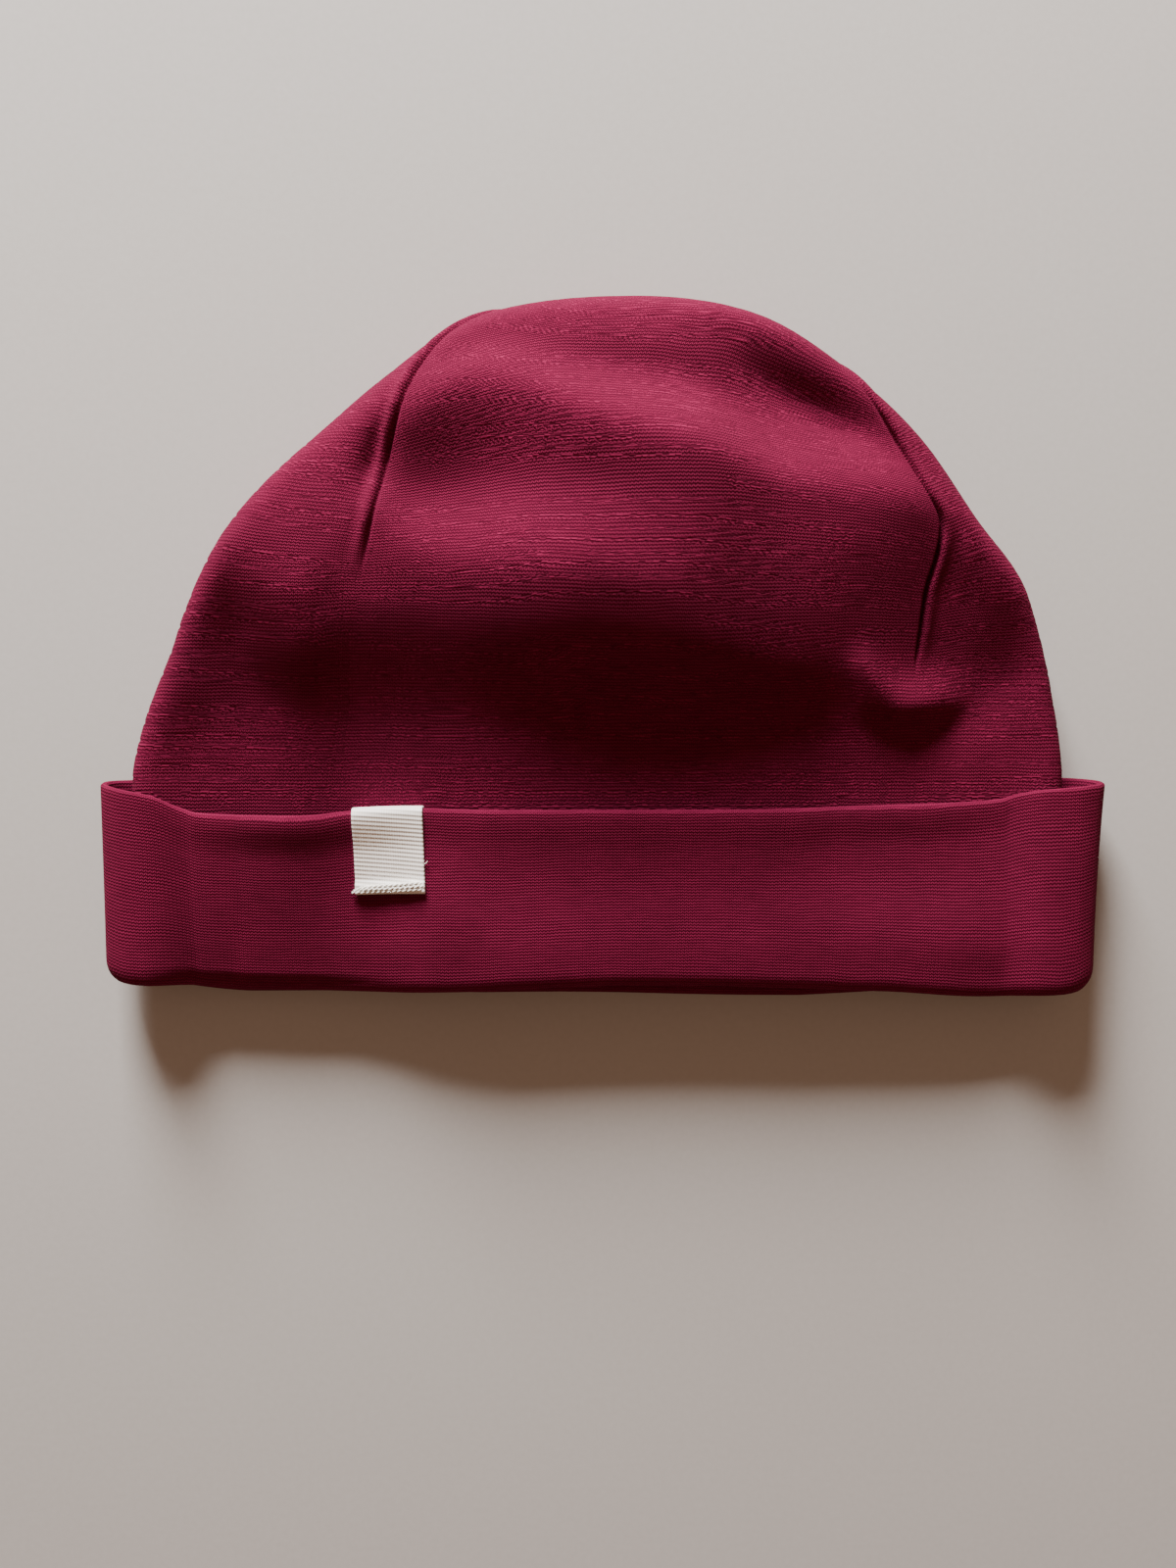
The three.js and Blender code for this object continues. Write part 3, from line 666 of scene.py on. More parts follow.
def knit_map(grid, level):
    """(u, v) of each cell's two sides: arrays [row, column, side, 2] in millimetres."""
    up = length_up(grid)
    closed = np.concatenate([grid, grid[:, :1]], 1)
    step = np.linalg.norm(np.diff(closed, axis=1), axis=-1)
    run = np.concatenate([np.zeros((len(grid), 1)), np.cumsum(step, 1)], 1)
    round_base = run[-1, -1]
    whole = round(round_base / WALE) * WALE / round_base
    up = np.concatenate([up, up[:, :1]], 1)
    result = np.empty((len(grid), columns, 2, 2))
    for k in range(4):
        first, last = panel_start[k], panel_start[k + 1]
        middle = (first + last) // 2
        tip = max(DARTS[k]["tip"], DARTS[(k + 1) % 4]["tip"])
        joined = ease((level - tip + 0.12) / 0.12)[:, None]
        arc = run[:, first:last + 1] - run[:, [middle]]
        base = arc[-1:]
        half = np.where(arc < 0, arc[:, :1] / base[:, :1], arc[:, -1:] / base[:, -1:])
        u = run[-1, middle] + arc * (1 + joined * (1 / np.maximum(half, 0.05) - 1))
        width = (arc[:, -1] - arc[:, 0]) / 2
        narrowing = np.polyder(np.polyfit(up[:, middle], width, 5))
        fan = -np.polyval(narrowing, up[:, middle]) / width
        fan = np.clip(fan, 0, 0.012) * (1 - joined[:, 0])
        v = up[:, first:last + 1] + 0.5 * fan[:, None] * arc**2
        pair = np.stack([u * whole, v], -1)
        result[:, first:last, 0] = pair[:, :-1]
        result[:, first:last, 1] = pair[:, 1:]
    return result


def set_uv(obj, uv):
    """Writes one (u, v) in metres for each loop of the mesh."""
    layer = obj.data.uv_layers.active or obj.data.uv_layers.new(name="UVMap")
    layer.uv.foreach_set("vector", (uv * MM).ravel())


def loops_of(mesh):
    """Vertex and polygon of every loop."""
    vertex = np.empty(len(mesh.loops), int)
    mesh.loops.foreach_get("vertex_index", vertex)
    total = np.empty(len(mesh.polygons), int)
    mesh.polygons.foreach_get("loop_total", total)
    return vertex, np.repeat(np.arange(len(total)), total)


outer_map = knit_map(outer, rows_outer)
inner_map = knit_map(inner, rows_inner)
crown_map = np.concatenate([outer_map, inner_map[::-1]])
loop_vertex, loop_face = loops_of(crown.data)
loop_row, loop_column = ball_row[loop_vertex], ball_column[loop_vertex]
is_pole = (loop_row == 0) | (loop_row == ring_count)
low = np.full(len(crown.data.polygons), columns)
high = np.full(len(crown.data.polygons), -1)
np.minimum.at(low, loop_face[~is_pole], loop_column[~is_pole])
np.maximum.at(high, loop_face[~is_pole], loop_column[~is_pole])
cell = np.where(high - low > 1, high, low)
side = (loop_column != cell[loop_face]).astype(int)
side[is_pole] = 0
set_uv(crown, crown_map[np.clip(loop_row - 1, 0, ring_count - 2), cell[loop_face], side])
print("crown map, round and up, in mm:", np.ptp(crown_map[..., 0]).round(),
      np.ptp(crown_map[..., 1]).round())

# %% [markdown]
# ## The cuff
#
# The cuff is the lower end of the same tube turned up, so the mouth is a fold and so is the top
# edge, where the doubled cloth ends in a soft roll. It lies flat on the crown in the middle and
# stands off it at both ends, where it has to bend round the hat's sides. A ring is the natural
# start: its small circle becomes the section of the band, and its large one goes round the hat.

# %% Section of the cuff
CUFF_COLUMNS = 400
CUFF_CROWDING = 0.25  # draws the columns towards the two ends
MOUTH_BACK_X = 22.0  # where the lower side reaches furthest out
MOUTH_BACK_WIDTH = 48.0
MOUTH_BACK_STEP = 1.5  # how far it reaches past the upper side everywhere
MOUTH_BACK_DROP = 2.6  # and how much further at that place
MOUTH_BACK_LIMIT = -71.5  # the step is measured from here where the upper side reaches past it
SIDE_RATE = 1.6  # how quickly the cuff changes from its lower to its upper side at the ends


def ring_frame(turn, y):
    """The body's ring at y and its outward direction in the plane square to Y."""
    tube = CROWN_Y - y
    point = body(turn, 1.0, tube)
    along = body(turn + 0.5, 1.0, tube) - body(turn - 0.5, 1.0, tube)
    out = np.stack([along[..., 2], np.zeros(along.shape[:-1]), -along[..., 0]], -1)
    return point, out / np.linalg.norm(out, axis=-1, keepdims=True)


def off_body(turn, y, distance, sideways=0.0):
    """A point off the body's ring; sideways moves it along X only, towards the nearer end."""
    point, out = ring_frame(turn, y)
    moved = point + out * np.asarray(distance)[..., None]
    moved[..., 0] += out[..., 0] * sideways
    return moved


def cuff_station(turn):
    """What shapes the cuff's section at each place round it."""
    point, out = ring_frame(turn, np.full(turn.shape, (CUFF_BACK_TOP + CROWN_RIM) / 2))
    x = point[..., 0]
    rise = SIDE_RATE * np.sin(np.radians(turn))
    upper = ease(0.5 + rise)
    face = ease(rise)
    front = column(MOUTH, "x", "y", x)
    spread = np.exp(-(((x - MOUTH_BACK_X) / MOUTH_BACK_WIDTH) ** 2))
    back = np.maximum(front, MOUTH_BACK_LIMIT) - MOUTH_BACK_STEP - MOUTH_BACK_DROP * spread
    stand = np.where(x > CROWN_X, CUFF_STAND_RIGHT, CUFF_STAND_LEFT)
    return {
        "x": x,
        "face": face,
        "stand": stand,
        "flare": np.where(x > CROWN_X, CUFF_FLARE_RIGHT, CUFF_FLARE_LEFT),
        "top_y": CUFF_BACK_TOP + (column(CUFF_RIM, "x", "y", x) - CUFF_BACK_TOP) * upper,
        "swell": column(CUFF_RIM, "x", "swell", x) * face,
        "depth": MOUTH_ROUND + stand * out[..., 0] ** 2 / 2,
        "mouth_y": back + (front - back) * upper,
    }


def back_distance(station, y):
    """Distance of the outer leg's hidden face from the body: the gap and the soft folds."""
    return CUFF_GAP + fold_height(CUFF_FOLDS, station["x"], y) * station["face"]


def face_distance(station, y):
    """Distance of the outer leg's visible face from the body: the cloth and its top roll."""
    below = station["top_y"] - (WALL + station["swell"]) / 2 - y
    roll = station["swell"] * (1 - ease(below / CUFF_ROLL_FADE))
    return back_distance(station, y) + WALL + roll


def cuff_section(turn):
    """Closed sections of the band, one row of points for each step round the section."""
    at = cuff_station(turn)
    outer_bend, inner_bend = CUFF_GAP / 2 + WALL, CUFF_GAP / 2
    bend_y = at["mouth_y"] + at["depth"]
    start_y = np.full(turn.shape, CROWN_RIM - CLEARANCE)
    rim_radius = (WALL + at["swell"]) / 2
    rim_y = at["top_y"] - rim_radius
    rows = []

    def put(y, distance, share):
        rows.append(off_body(turn, y, distance + 0 * y, at["stand"] * share))

    for f in np.arange(8) / 8:
        put(start_y + (bend_y - start_y) * f, -WALL, 0)
    for f in np.arange(14) / 14:
        swing = math.pi * f
        put(bend_y - at["depth"] * math.sin(swing), inner_bend - outer_bend * math.cos(swing),
            float(ease(f)))
    for f in np.arange(26) / 26:
        y = bend_y + (rim_y - bend_y) * f
        put(y, face_distance(at, y), 1 + at["flare"] * f * f)
    middle = face_distance(at, rim_y) - rim_radius
    for f in np.arange(12) / 12:
        swing = math.pi * f
        put(rim_y + rim_radius * math.sin(swing), middle + rim_radius * math.cos(swing), 1 + at["flare"])
    for f in np.arange(16) / 16:
        y = rim_y + (bend_y - rim_y) * f
        put(y, back_distance(at, y), 1 + at["flare"] * (1 - f) ** 2)
    for f in np.arange(10) / 10:
        swing = math.pi * f
        put(bend_y - (at["depth"] - WALL) * math.sin(swing), inner_bend + inner_bend * math.cos(swing),
            float(ease(1 - f)))
    for f in np.arange(5) / 4:
        put(bend_y + (start_y - bend_y) * f, 0, 0)
    return np.array(rows)


# %% Shape the cuff from a ring
even = 2 * np.pi * np.arange(CUFF_COLUMNS) / CUFF_COLUMNS
cuff_turn = np.degrees(even - CUFF_CROWDING * np.sin(2 * even))
cuff_points = cuff_section(cuff_turn)
cuff_steps = len(cuff_points)

bpy.ops.object.select_all(action="DESELECT")
bpy.ops.mesh.primitive_torus_add(
    major_segments=CUFF_COLUMNS, minor_segments=cuff_steps, major_radius=1, minor_radius=0.25)
cuff = bpy.context.object
cuff.name = "cuff_cloth"
ring = vertices_of(cuff.data)
ring_column = np.rint(np.arctan2(ring[:, 1], ring[:, 0]) / (2 * np.pi) * CUFF_COLUMNS).astype(int)
ring_column %= CUFF_COLUMNS
small = np.arctan2(ring[:, 2], np.hypot(ring[:, 0], ring[:, 1]) - 1)
ring_step = np.rint(small / (2 * np.pi) * cuff_steps).astype(int) % cuff_steps
cuff.data.vertices.foreach_set("co", (cuff_points[ring_step, ring_column] * MM).ravel())
cuff.data.update()
print("cuff:", len(cuff.data.polygons), "faces")

# %% UV map of the cuff


def loop_uv(obj, vertex_u, vertex_v, period_u, period_v):
    """Loop UVs from vertex values that go round in u and in v, kept whole across both joins."""
    vertex, face = loops_of(obj.data)
    uv = np.stack([vertex_u[vertex], vertex_v[vertex]], -1)
    for axis, period in enumerate((period_u, period_v)):
        top = np.full(len(obj.data.polygons), -np.inf)
        np.maximum.at(top, face, uv[:, axis])
        wrapped = top[face] - uv[:, axis] > period / 2
        uv[:, axis] += wrapped * period
    return uv


def closed_run(points, axis):
    """Distance along a closed row of points, and its whole length."""
    step = np.linalg.norm(np.roll(points, -1, axis) - points, axis=-1)
    return np.cumsum(step, axis) - step, step.sum(axis)


FACE_STEP = 30  # a row of the section that lies on the band's visible face

band_run, band_round = closed_run(cuff_points[FACE_STEP:FACE_STEP + 1], 1)
section_run, section_round = closed_run(cuff_points, 0)
whole_wales = round(float(band_round[0]) / WALE) * WALE
cuff_u = band_run[0] * whole_wales / band_round[0]
cuff_v = -section_run.mean(1)
set_uv(cuff, loop_uv(cuff, cuff_u[ring_column], cuff_v[ring_step], whole_wales, section_round.mean()))
print("cuff: %.0f mm round, %.0f mm round its section" % (band_round[0], section_round.mean()))

# %% [markdown]
# ## The label
#
# A short woven tape is folded over the cuff's top edge. Its front end is turned under and sewn,
# and the other end hides behind the cuff. A flat grid is the right start for a strip: its rows
# follow a path measured off the cuff itself, so the tape lies on the roll wherever the roll is.

# %% Path of the tape over the cuff
LABEL_STEPS = 150
LABEL_ACROSS = 36
TAPE_LIFT = 0.12  # air between the tape and the jersey
HEM_TURN = 2.3  # length of the end that is turned under
HEM_RISE = 0.25  # how much the seam end is tilted against the hat

ring_turn = np.linspace(4, 176, 345)
ring_x = body(ring_turn, 1.0)[:, 0]


def turn_at(x):
    """Place round the tube of a point on its upper side."""
    return np.interp(x, ring_x[::-1], ring_turn[::-1])


def tape_path(x):
    """Distances (y, off the body) along the tape at x, from its turned-under end."""
    at = cuff_station(np.array([turn_at(x)]))
    side = (x - LABEL_LEFT) / (LABEL_RIGHT - LABEL_LEFT)
    end = LABEL_END + HEM_RISE * (side - 0.5)
    radius = float(WALL + at["swell"][0]) / 2
    rim = float(at["top_y"][0]) - radius
    lift = TAPE_LIFT + LABEL_TAPE / 2
    fold = LABEL_TAPE * 0.62

    def face(y):
        return float(face_distance(at, np.array([y]))[0])

    points = []
    for y in np.linspace(end + HEM_TURN, end + fold, 8):
        points.append((y, face(y) + lift))
    for swing in np.linspace(0.15, 1, 8) * math.pi:
        out = fold * (1 - math.cos(swing))
        points.append((end + fold - fold * math.sin(swing), face(end) + lift + out))
    for y in np.linspace(end + fold, rim, 40)[1:]:
        over_hem = 2 * fold * (1 - float(ease((y - end - HEM_TURN + 0.8) / 1.6)))
        points.append((y, face(y) + lift + over_hem))
    middle = face(rim) - radius
    for swing in np.linspace(0, 1, 16)[1:] * math.pi:
        reach = radius + lift
        points.append((rim + reach * math.sin(swing), middle + max(reach * math.cos(swing), -reach)))
    behind = CUFF_GAP / 2
    for y in np.linspace(rim, rim - LABEL_TUCK, 16)[1:]:
        points.append((y, behind))
    points = np.array(points)
    low = np.minimum(points[:, 1], behind)
    points[:, 1] = np.where(points[:, 0] > end, np.maximum(points[:, 1], behind), low)
    return points


def even_steps(points, count):
    """The same path in equal steps, with the length along it."""
    run = np.concatenate([[0], np.cumsum(np.linalg.norm(np.diff(points, axis=0), axis=1))])
    at = np.linspace(0, run[-1], count)
    return np.stack([np.interp(at, run, points[:, i]) for i in range(points.shape[1])], -1), at


# %% Shape the tape from a grid
bpy.ops.object.select_all(action="DESELECT")
bpy.ops.mesh.primitive_grid_add(x_subdivisions=LABEL_ACROSS, y_subdivisions=LABEL_STEPS, size=2)
label = bpy.context.object
label.name = "label_tape"
flat = vertices_of(label.data)
across = np.rint((flat[:, 0] + 1) / 2 * LABEL_ACROSS).astype(int)
along = np.rint((flat[:, 1] + 1) / 2 * LABEL_STEPS).astype(int)
tape = np.empty((LABEL_ACROSS + 1, LABEL_STEPS + 1, 3))
tape_run = np.empty((LABEL_ACROSS + 1, LABEL_STEPS + 1))
for i, x in enumerate(np.linspace(LABEL_LEFT, LABEL_RIGHT, LABEL_ACROSS + 1)):
    path, tape_run[i] = even_steps(tape_path(x), LABEL_STEPS + 1)
    leaning = x + LABEL_LEAN * (path[:, 0] - LABEL_END)
    tape[i] = off_body(turn_at(leaning), path[:, 0], path[:, 1])
label.data.vertices.foreach_set("co", (tape[across, along] * MM).ravel())
label.data.update()
vertex, _ = loops_of(label.data)
set_uv(label, np.stack([across[vertex] / LABEL_ACROSS * (LABEL_RIGHT - LABEL_LEFT),
                        tape_run[across, along][vertex]], -1))
thickness = label.modifiers.new("thickness", "SOLIDIFY")
thickness.thickness = LABEL_TAPE * MM
thickness.offset = 0
bpy.context.view_layer.objects.active = label
bpy.ops.object.modifier_apply(modifier=thickness.name)
tape_length = float(tape_run.max())
print("tape: %.1f mm long, %.1f mm wide" % (tape_length, LABEL_RIGHT - LABEL_LEFT))

# %% [markdown]
# ## The stitching that holds the label
#
# Three thick white threads cross the label's lower end, each spun from two plies, and a thin loose
# end shows beside it. A curve with a bevel would make a smooth wire, so each ply is a ball drawn
# out along its own twisted path: the ball's poles close its two ends, and the plies wind round
# each other as spun thread does.

# %% A spun thread
THREAD_POINTS = 12  # even steps that a thread's few places are turned into first
THREAD_STEP = 0.12  # length of one ring of a ply, in millimetres
THREAD_ROUNDING = 8  # passes that round its corners
PLY_OFFSET = 0.5  # middle of a ply from the thread's middle, as a share of its radius
PLY_RADIUS = 0.56


def spun_thread(name, points, radius, pitch, plies=2, segments=10):
    """Plies that twist round the path through the points, as one mesh."""
    path, run = even_steps(np.array(points, float), THREAD_POINTS)
    count = max(int(run[-1] / THREAD_STEP), 2 * THREAD_POINTS)
    at, known = np.linspace(0, 1, count), np.linspace(0, 1, THREAD_POINTS)
    curve = np.stack([np.interp(at, known, path[:, i]) for i in range(3)], -1)
    for _ in range(THREAD_ROUNDING):
        curve[1:-1] = (curve[:-2] + 2 * curve[1:-1] + curve[2:]) / 4
    ahead = np.gradient(curve, axis=0)
    ahead /= np.linalg.norm(ahead, axis=1, keepdims=True)
    side = np.cross(ahead, [0, 0, 1.0])
    side /= np.linalg.norm(side, axis=1, keepdims=True)
    top = np.cross(side, ahead)
    length = np.concatenate([[0], np.cumsum(np.linalg.norm(np.diff(curve, axis=0), axis=1))])
    made = []
    for ply in range(plies):
        bpy.ops.object.select_all(action="DESELECT")
        bpy.ops.mesh.primitive_uv_sphere_add(segments=segments, ring_count=count, radius=1)
        piece = bpy.context.object
        ball = vertices_of(piece.data)
        row = np.rint(np.arccos(np.clip(ball[:, 2], -1, 1)) / np.pi * count).astype(int)
        row = np.clip(row, 0, count - 1)
        heading = np.arctan2(ball[:, 1], ball[:, 0])
        twist = 2 * np.pi * (length[row] / pitch + ply / plies)
        offset = radius * PLY_OFFSET
        ply_radius = radius * PLY_RADIUS * np.sqrt(np.clip(1 - (2 * row / (count - 1) - 1) ** 16, 0.05, 1))
        place = (curve[row]
                 + side[row] * (offset * np.cos(twist) + ply_radius * np.cos(heading))[:, None]
                 + top[row] * (offset * np.sin(twist) + ply_radius * np.sin(heading))[:, None])
        piece.data.vertices.foreach_set("co", (place * MM).ravel())
        piece.data.update()
        made.append(piece)
    bpy.ops.object.select_all(action="DESELECT")
    for piece in made:
        piece.select_set(True)
    bpy.context.view_layer.objects.active = made[0]
    bpy.ops.object.join()
    bpy.ops.object.mode_set(mode="EDIT")
    bpy.ops.mesh.select_all(action="SELECT")
    bpy.ops.mesh.normals_make_consistent(inside=False)
    bpy.ops.object.mode_set(mode="OBJECT")
    made[0].name = name
    return made[0]


def on_tape(x, y, lift):
    """A point above the label's front at x and y."""
    at = cuff_station(np.array([turn_at(x)]))
    distance = face_distance(at, np.array([y])) + TAPE_LIFT + 2.2 * LABEL_TAPE + lift
    return off_body(np.array([turn_at(x)]), np.array([y]), distance)[0]


# %% Threads across the label's end
threads = []
for name, rows in {
    "label_stitch_low": [(-54.2, -49.7, -0.5), (-52.6, -49.5, 0.1), (-46, -49.3, 0.14),
                         (-40, -48.9, 0.12), (-38.7, -48.8, -0.3)],
    "label_stitch_mid": [(-53.8, -49.3, -0.4), (-51.5, -48.9, 0.24), (-45, -48.7, 0.26),
                         (-40, -48.2, 0.2), (-38.6, -48.1, -0.3)],
    "label_stitch_high": [(-53.0, -48.8, -0.1), (-50, -48.3, 0.12), (-45, -48.0, 0.14),
                          (-41, -47.6, 0.12), (-39.2, -47.5, -0.3)],
}.items():
    threads.append(spun_thread(name, [on_tape(*row) for row in rows], 0.33, 2.2))
loose = [(-39.0, -43.6, -0.75), (-38.5, -43.4, -0.5), (-38.1, -43.1, -0.35), (-37.9, -42.8, -0.3)]
threads.append(spun_thread("label_loose_thread", [on_tape(*row) for row in loose], 0.1, 1.0))
print("threads:", [t.name for t in threads])

# %% [markdown]
# ## Helpers for the finishes
#
# Each finish is a small tree of shader nodes on a Principled surface. One helper adds a node,
# sets it and links it. Colours are written as the hex values of paint and dye charts, which are
# sRGB, and the shader wants linear light, so one function turns the one into the other.

# %% Colour and node helpers


def linear(hex_colour):
    """An sRGB hex colour as linear red, green, blue and alpha."""
    values = [int(hex_colour[i:i + 2], 16) / 255 for i in (1, 3, 5)]
    return [v / 12.92 if v <= 0.04045 else ((v + 0.055) / 1.055) ** 2.4 for v in values] + [1.0]


def add(tree, kind, inputs=None, **settings):
    """Adds one node. An input is a number, a colour, or the output of another node."""
    node = tree.nodes.new("ShaderNode" + kind)
    for name, value in settings.items():
        setattr(node, name, value)
    for name, value in (inputs or {}).items():
        socket = node.inputs[name]
        if isinstance(value, bpy.types.NodeSocket):
            tree.links.new(value, socket)
        else:
            socket.default_value = value
    return node


def new_finish(name):
    """An empty material with a Principled surface, and its tree."""
    material = bpy.data.materials.new(name)
    material.use_nodes = True
    tree = material.node_tree
    return material, tree, tree.nodes["Principled BSDF"]


# %% [markdown]
# ## Burgundy jersey
#
# Cotton jersey is knitted from soft yarn in columns of V-shaped stitches. Close to, the eye sees
# the rows of yarn as fine wavy lines with lit tops and dark gaps, and the loose fibres over them
# scatter a pale, slightly pink sheen. Here the dark gaps are painted shade, a darker colour mixed in
# low between the yarns, and the lit tops are a painted highlight, a paler pink mixed in on the
# highest parts of the stitches. The pale sheen comes partly from the surface's own sheen and partly
# from that painted highlight. The stitches are drawn from the UV map, which is in real sizes: each
# wale is split into two legs, and each leg is a ridge that slants up to the middle.

# %% Jersey material
JERSEY_DYE = "#6E1736"
# painted shade: a darker burgundy for the gaps between the yarns, where shade falls between them
JERSEY_GAP_SHADE = "#4A0F24"
# painted highlight: a paler pink for the tops of the yarns, where the light catches them
JERSEY_TOP_HIGHLIGHT = "#9A2A54"
STITCH_DEPTH = 0.13  # mm, how deep the hollows between the yarns are

jersey, tree, surface = new_finish("burgundy_cotton_jersey")
place = add(tree, "UVMap", uv_map="UVMap")
wander = add(tree, "TexNoise", {"Vector": place.outputs[0], "Scale": 90.0, "Detail": 2.0})
shifted = add(tree, "VectorMath", {0: wander.outputs["Color"], 1: (0.5, 0.5, 0.5)}, operation="SUBTRACT")
shift = add(tree, "VectorMath", {0: shifted.outputs[0], "Scale": 0.0011}, operation="SCALE")
worn = add(tree, "VectorMath", {0: place.outputs[0], 1: shift.outputs[0]}, operation="ADD")
axes = add(tree, "SeparateXYZ", {0: worn.outputs[0]})
wale = add(tree, "Math", {0: axes.outputs[0], 1: 1000 / WALE}, operation="MULTIPLY")
course = add(tree, "Math", {0: axes.outputs[1], 1: 1000 / COURSE}, operation="MULTIPLY")
in_wale = add(tree, "Math", {0: wale.outputs[0]}, operation="FRACT")
from_middle = add(tree, "Math", {0: in_wale.outputs[0], 1: 0.5}, operation="SUBTRACT")
leg = add(tree, "Math", {0: from_middle.outputs[0]}, operation="ABSOLUTE")
phase = add(tree, "Math", {0: course.outputs[0], 1: leg.outputs[0]}, operation="SUBTRACT")
turn_angle = add(tree, "Math", {0: phase.outputs[0], 1: 2 * math.pi}, operation="MULTIPLY")
wave = add(tree, "Math", {0: turn_angle.outputs[0]}, operation="COSINE")
yarn = add(tree, "MapRange", {0: wave.outputs[0], 1: -1.0, 2: 1.0, 3: 0.0, 4: 1.0})
leg_angle = add(tree, "Math", {0: leg.outputs[0], 1: 2 * math.pi}, operation="MULTIPLY")
leg_bulge = add(tree, "Math", {0: leg_angle.outputs[0]}, operation="SINE")
leg_round = add(tree, "MapRange", {0: leg_bulge.outputs[0], 1: 0.0, 2: 1.0, 3: 0.2, 4: 1.0})
stitch = add(tree, "Math", {0: yarn.outputs[0], 1: leg_round.outputs[0]}, operation="MULTIPLY")
fuzz = add(tree, "TexNoise", {"Vector": place.outputs[0], "Scale": 2200.0, "Detail": 3.0})
fuzzy = add(tree, "Math", {0: fuzz.outputs[0], 1: 0.5, 2: stitch.outputs[0]}, operation="MULTIPLY_ADD")
blotch = add(tree, "TexNoise", {"Vector": place.outputs[0], "Scale": 60.0, "Detail": 3.0})
tone = add(tree, "MapRange", {0: blotch.outputs[0], 1: 0.3, 2: 0.7, 3: 0.92, 4: 1.08})
# painted shade: the low parts of the stitches, between the yarns, are mixed towards the darker gap colour
height = add(tree, "MapRange", {0: fuzzy.outputs[0], 1: 0.15, 2: 1.1, 3: 0.0, 4: 1.0})
shaded_dye = add(tree, "Mix", {0: height.outputs[0], 6: linear(JERSEY_GAP_SHADE), 7: linear(JERSEY_DYE)},
          data_type="RGBA")
# painted highlight: the highest parts of the stitches are mixed towards the paler pink
tops = add(tree, "MapRange", {0: fuzzy.outputs[0], 1: 0.85, 2: 1.35, 3: 0.0, 4: 0.45})
highlighted_dye = add(tree, "Mix", {0: tops.outputs[0], 6: shaded_dye.outputs[2], 7: linear(JERSEY_TOP_HIGHLIGHT)},
             data_type="RGBA")
yarns = add(tree, "Mapping", {"Vector": place.outputs[0], "Scale": (240.0, 1300.0, 1.0)})
uneven = add(tree, "TexNoise", {"Vector": yarns.outputs[0], "Scale": 1.0, "Detail": 2.0})
streak = add(tree, "MapRange", {0: uneven.outputs[0], 1: 0.3, 2: 0.7, 3: 0.88, 4: 1.12})
shades = add(tree, "Math", {0: tone.outputs[0], 1: streak.outputs[0]}, operation="MULTIPLY")
toned = add(tree, "VectorMath", {0: highlighted_dye.outputs[2], "Scale": shades.outputs[0]}, operation="SCALE")
bump = add(tree, "Bump", {"Height": fuzzy.outputs[0], "Distance": STITCH_DEPTH * MM, "Strength": 1.0})
tree.links.new(toned.outputs[0], surface.inputs["Base Color"])
tree.links.new(bump.outputs[0], surface.inputs["Normal"])
surface.inputs["Roughness"].default_value = 0.95
surface.inputs["Specular IOR Level"].default_value = 0.04
surface.inputs["Sheen Weight"].default_value = 0.05
surface.inputs["Sheen Roughness"].default_value = 0.5
surface.inputs["Sheen Tint"].default_value = linear("#D8507C")
print("jersey nodes:", len(tree.nodes))

# %% [markdown]
# ## Cream twill tape
#
# The label is a narrow polyester twill: warm white warp floats that step sideways row by row, with
# hollows between them that are painted slightly darker as shade, and a soft gloss.

# %% Tape material
TAPE_RIB = 0.9  # mm between the rows of floats
TAPE_STEP = 9.0  # mm across the tape in which the rows climb by one rib
TAPE_WARP = 0.5  # mm between the warp threads
TAPE_DEPTH = 0.09  # mm, height of the floats
# painted shade: the hollows between the floats are coloured a little darker
TAPE_HOLLOW_SHADE = "#DFD9CF"
TAPE_FLOAT = "#FFFDFA"

tape_finish, tree, surface = new_finish("cream_twill_tape")
place = add(tree, "UVMap", uv_map="UVMap")
axes = add(tree, "SeparateXYZ", {0: place.outputs[0]})
across_rib = add(tree, "Math", {0: axes.outputs[1], 1: 1000 / TAPE_RIB}, operation="MULTIPLY")
step = add(tree, "Math", {0: axes.outputs[0], 1: 1000 / TAPE_STEP, 2: across_rib.outputs[0]},
           operation="MULTIPLY_ADD")
rib_angle = add(tree, "Math", {0: step.outputs[0], 1: 2 * math.pi}, operation="MULTIPLY")
rib_wave = add(tree, "Math", {0: rib_angle.outputs[0]}, operation="COSINE")
warp = add(tree, "Math", {0: axes.outputs[0], 1: 2 * math.pi * 1000 / TAPE_WARP}, operation="MULTIPLY")
warp_wave = add(tree, "Math", {0: warp.outputs[0]}, operation="COSINE")
weave = add(tree, "Math", {0: warp_wave.outputs[0], 1: 0.5, 2: rib_wave.outputs[0]},
            operation="MULTIPLY_ADD")
weave_height = add(tree, "MapRange", {0: weave.outputs[0], 1: -1.35, 2: 1.35, 3: 0.0, 4: 1.0})
# painted shade: the low parts of the weave take the darker hollow colour
shade = add(tree, "Mix", {0: weave_height.outputs[0], 6: linear(TAPE_HOLLOW_SHADE), 7: linear(TAPE_FLOAT)},
            data_type="RGBA")
bump = add(tree, "Bump",
           {"Height": weave_height.outputs[0], "Distance": TAPE_DEPTH * MM, "Strength": 1.0})
tree.links.new(shade.outputs[2], surface.inputs["Base Color"])
tree.links.new(bump.outputs[0], surface.inputs["Normal"])
surface.inputs["Roughness"].default_value = 0.6
surface.inputs["Sheen Weight"].default_value = 0.2

# %% [markdown]
# ## White sewing thread
#
# Polyester thread, spun from fine filaments: white, slightly glossy, with light in its shadows.

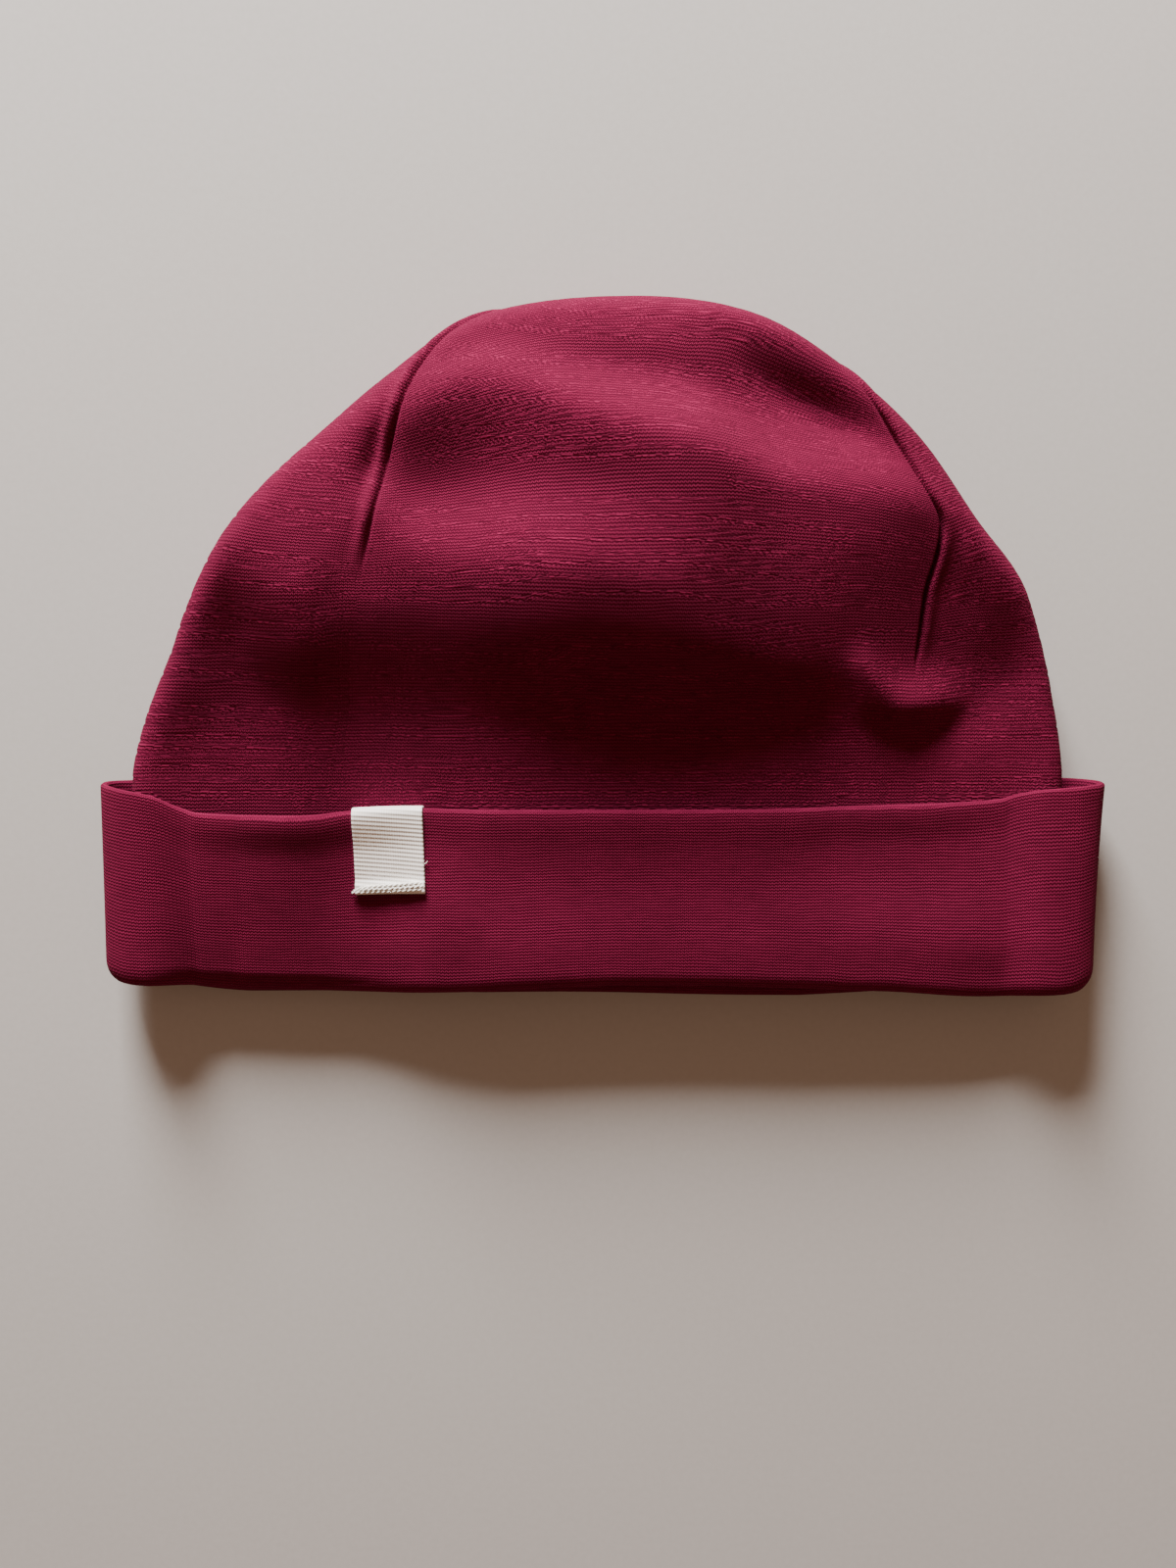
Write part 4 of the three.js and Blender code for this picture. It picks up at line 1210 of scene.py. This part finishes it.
# %% Thread material
thread_finish, tree, surface = new_finish("white_polyester_thread")
place = add(tree, "TexCoord")
filament = add(tree, "TexNoise", {"Vector": place.outputs["Object"], "Scale": 9000.0, "Detail": 2.0})
shade = add(tree, "Mix", {0: filament.outputs[0], 6: linear("#DDD8CF"), 7: linear("#FBF9F4")},
            data_type="RGBA")
bump = add(tree, "Bump", {"Height": filament.outputs[0], "Distance": 0.03 * MM, "Strength": 0.6})
tree.links.new(shade.outputs[2], surface.inputs["Base Color"])
tree.links.new(bump.outputs[0], surface.inputs["Normal"])
surface.inputs["Roughness"].default_value = 0.5
surface.inputs["Sheen Weight"].default_value = 0.15

# %% Dress the pieces
for piece, finish in [(crown, jersey), (cuff, jersey), (label, tape_finish)] + [
        (thread, thread_finish) for thread in threads]:
    piece.data.materials.clear()
    piece.data.materials.append(finish)
    bpy.ops.object.select_all(action="DESELECT")
    piece.select_set(True)
    bpy.context.view_layer.objects.active = piece
    bpy.ops.object.mode_set(mode="EDIT")
    bpy.ops.mesh.select_all(action="SELECT")
    bpy.ops.mesh.normals_make_consistent(inside=False)
    bpy.ops.object.mode_set(mode="OBJECT")
    bpy.ops.object.shade_smooth()

# %% [markdown]
# ## The place of each piece in the frame
#
# Every piece rides on the one body, stands for a node of the frame, and takes its finish from a
# slot. The sheets also say what they were before they became a hat, so their sizes can be tested.

for piece, node, slot in (
        (crown, "crown", "crown_jersey"), (cuff, "cuff", "cuff_jersey"), (label, "label", "label_tape")):
    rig.ride(piece, "root")
    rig.replaces(piece, node)
    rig.slot(piece, slot)
for thread in threads:
    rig.ride(thread, "root")
    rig.slot(thread, "label_tape")


def area_of(piece):
    """Area of a mesh in square metres."""
    return sum(face.area for face in piece.data.polygons)


for piece in (crown, cuff, label):
    print(piece.name, "surface in m2: %.4f" % area_of(piece))
band_length, band_height = float(band_round[0]) * MM, float(section_round.mean()) / 2 * MM
print("cuff band in m: %.3f x %.3f" % (band_length, band_height))
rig.sheet(crown, flat=(0.42, 0.145), held="laid", area=area_of(crown) / 2, rests_on=["floor"])
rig.sheet(cuff, flat=(band_length, band_height), held="folded", rests_on=["crown_cloth", "floor"],
         with_pieces=[])
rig.sheet(label, flat=((LABEL_RIGHT - LABEL_LEFT) * MM, tape_length * MM), held="folded",
         rests_on=["cuff_cloth"], with_pieces=threads)

# %% [markdown]
# ## Floor and light
#
# A pale matt board and one soft window, low and behind the top of the hat, so that every fold
# throws its shadow towards the mouth. The room answers with a little warm light of its own.

# %% Floor
bpy.ops.object.select_all(action="DESELECT")
bpy.ops.mesh.primitive_plane_add(size=3)
floor = bpy.context.object
floor.name = "floor"
board, tree, surface = new_finish("pale_matt_board")
place = add(tree, "TexCoord")
grain = add(tree, "TexNoise", {"Vector": place.outputs["Object"], "Scale": 700.0, "Detail": 4.0})
shade = add(tree, "Mix", {0: grain.outputs[0], 6: linear("#B5B2AE"), 7: linear("#BDBAB7")},
            data_type="RGBA")
tree.links.new(shade.outputs[2], surface.inputs["Base Color"])
surface.inputs["Roughness"].default_value = 0.95
surface.inputs["Specular IOR Level"].default_value = 0.1
floor.data.materials.append(board)
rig.stage(floor)

# %% Window and room
window_data = bpy.data.lights.new("window", "AREA")
window_data.shape = "RECTANGLE"
window_data.size = 0.36
window_data.size_y = 0.34
window_data.energy = 51
window_data.color = (1.0, 0.97, 0.95)
window = bpy.data.objects.new("window", window_data)
window.location = (-0.235, 0.941, 0.315)
window.rotation_euler = (Vector((0, 0, 0)) - window.location).to_track_quat("-Z", "Y").to_euler()
scene.collection.objects.link(window)

room = bpy.data.worlds.new("room")
scene.world = room
room.use_nodes = True
room.node_tree.nodes["Background"].inputs["Color"].default_value = (1.0, 0.6, 0.4, 1)
room.node_tree.nodes["Background"].inputs["Strength"].default_value = 0.3

# %% Sizes, and the end
json.dump({"frame": [list(corner) for corner in frame_box],
           "visual": [list(corner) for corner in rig.bounds()]}, open("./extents.json", "w"))
print(open("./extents.json").read())
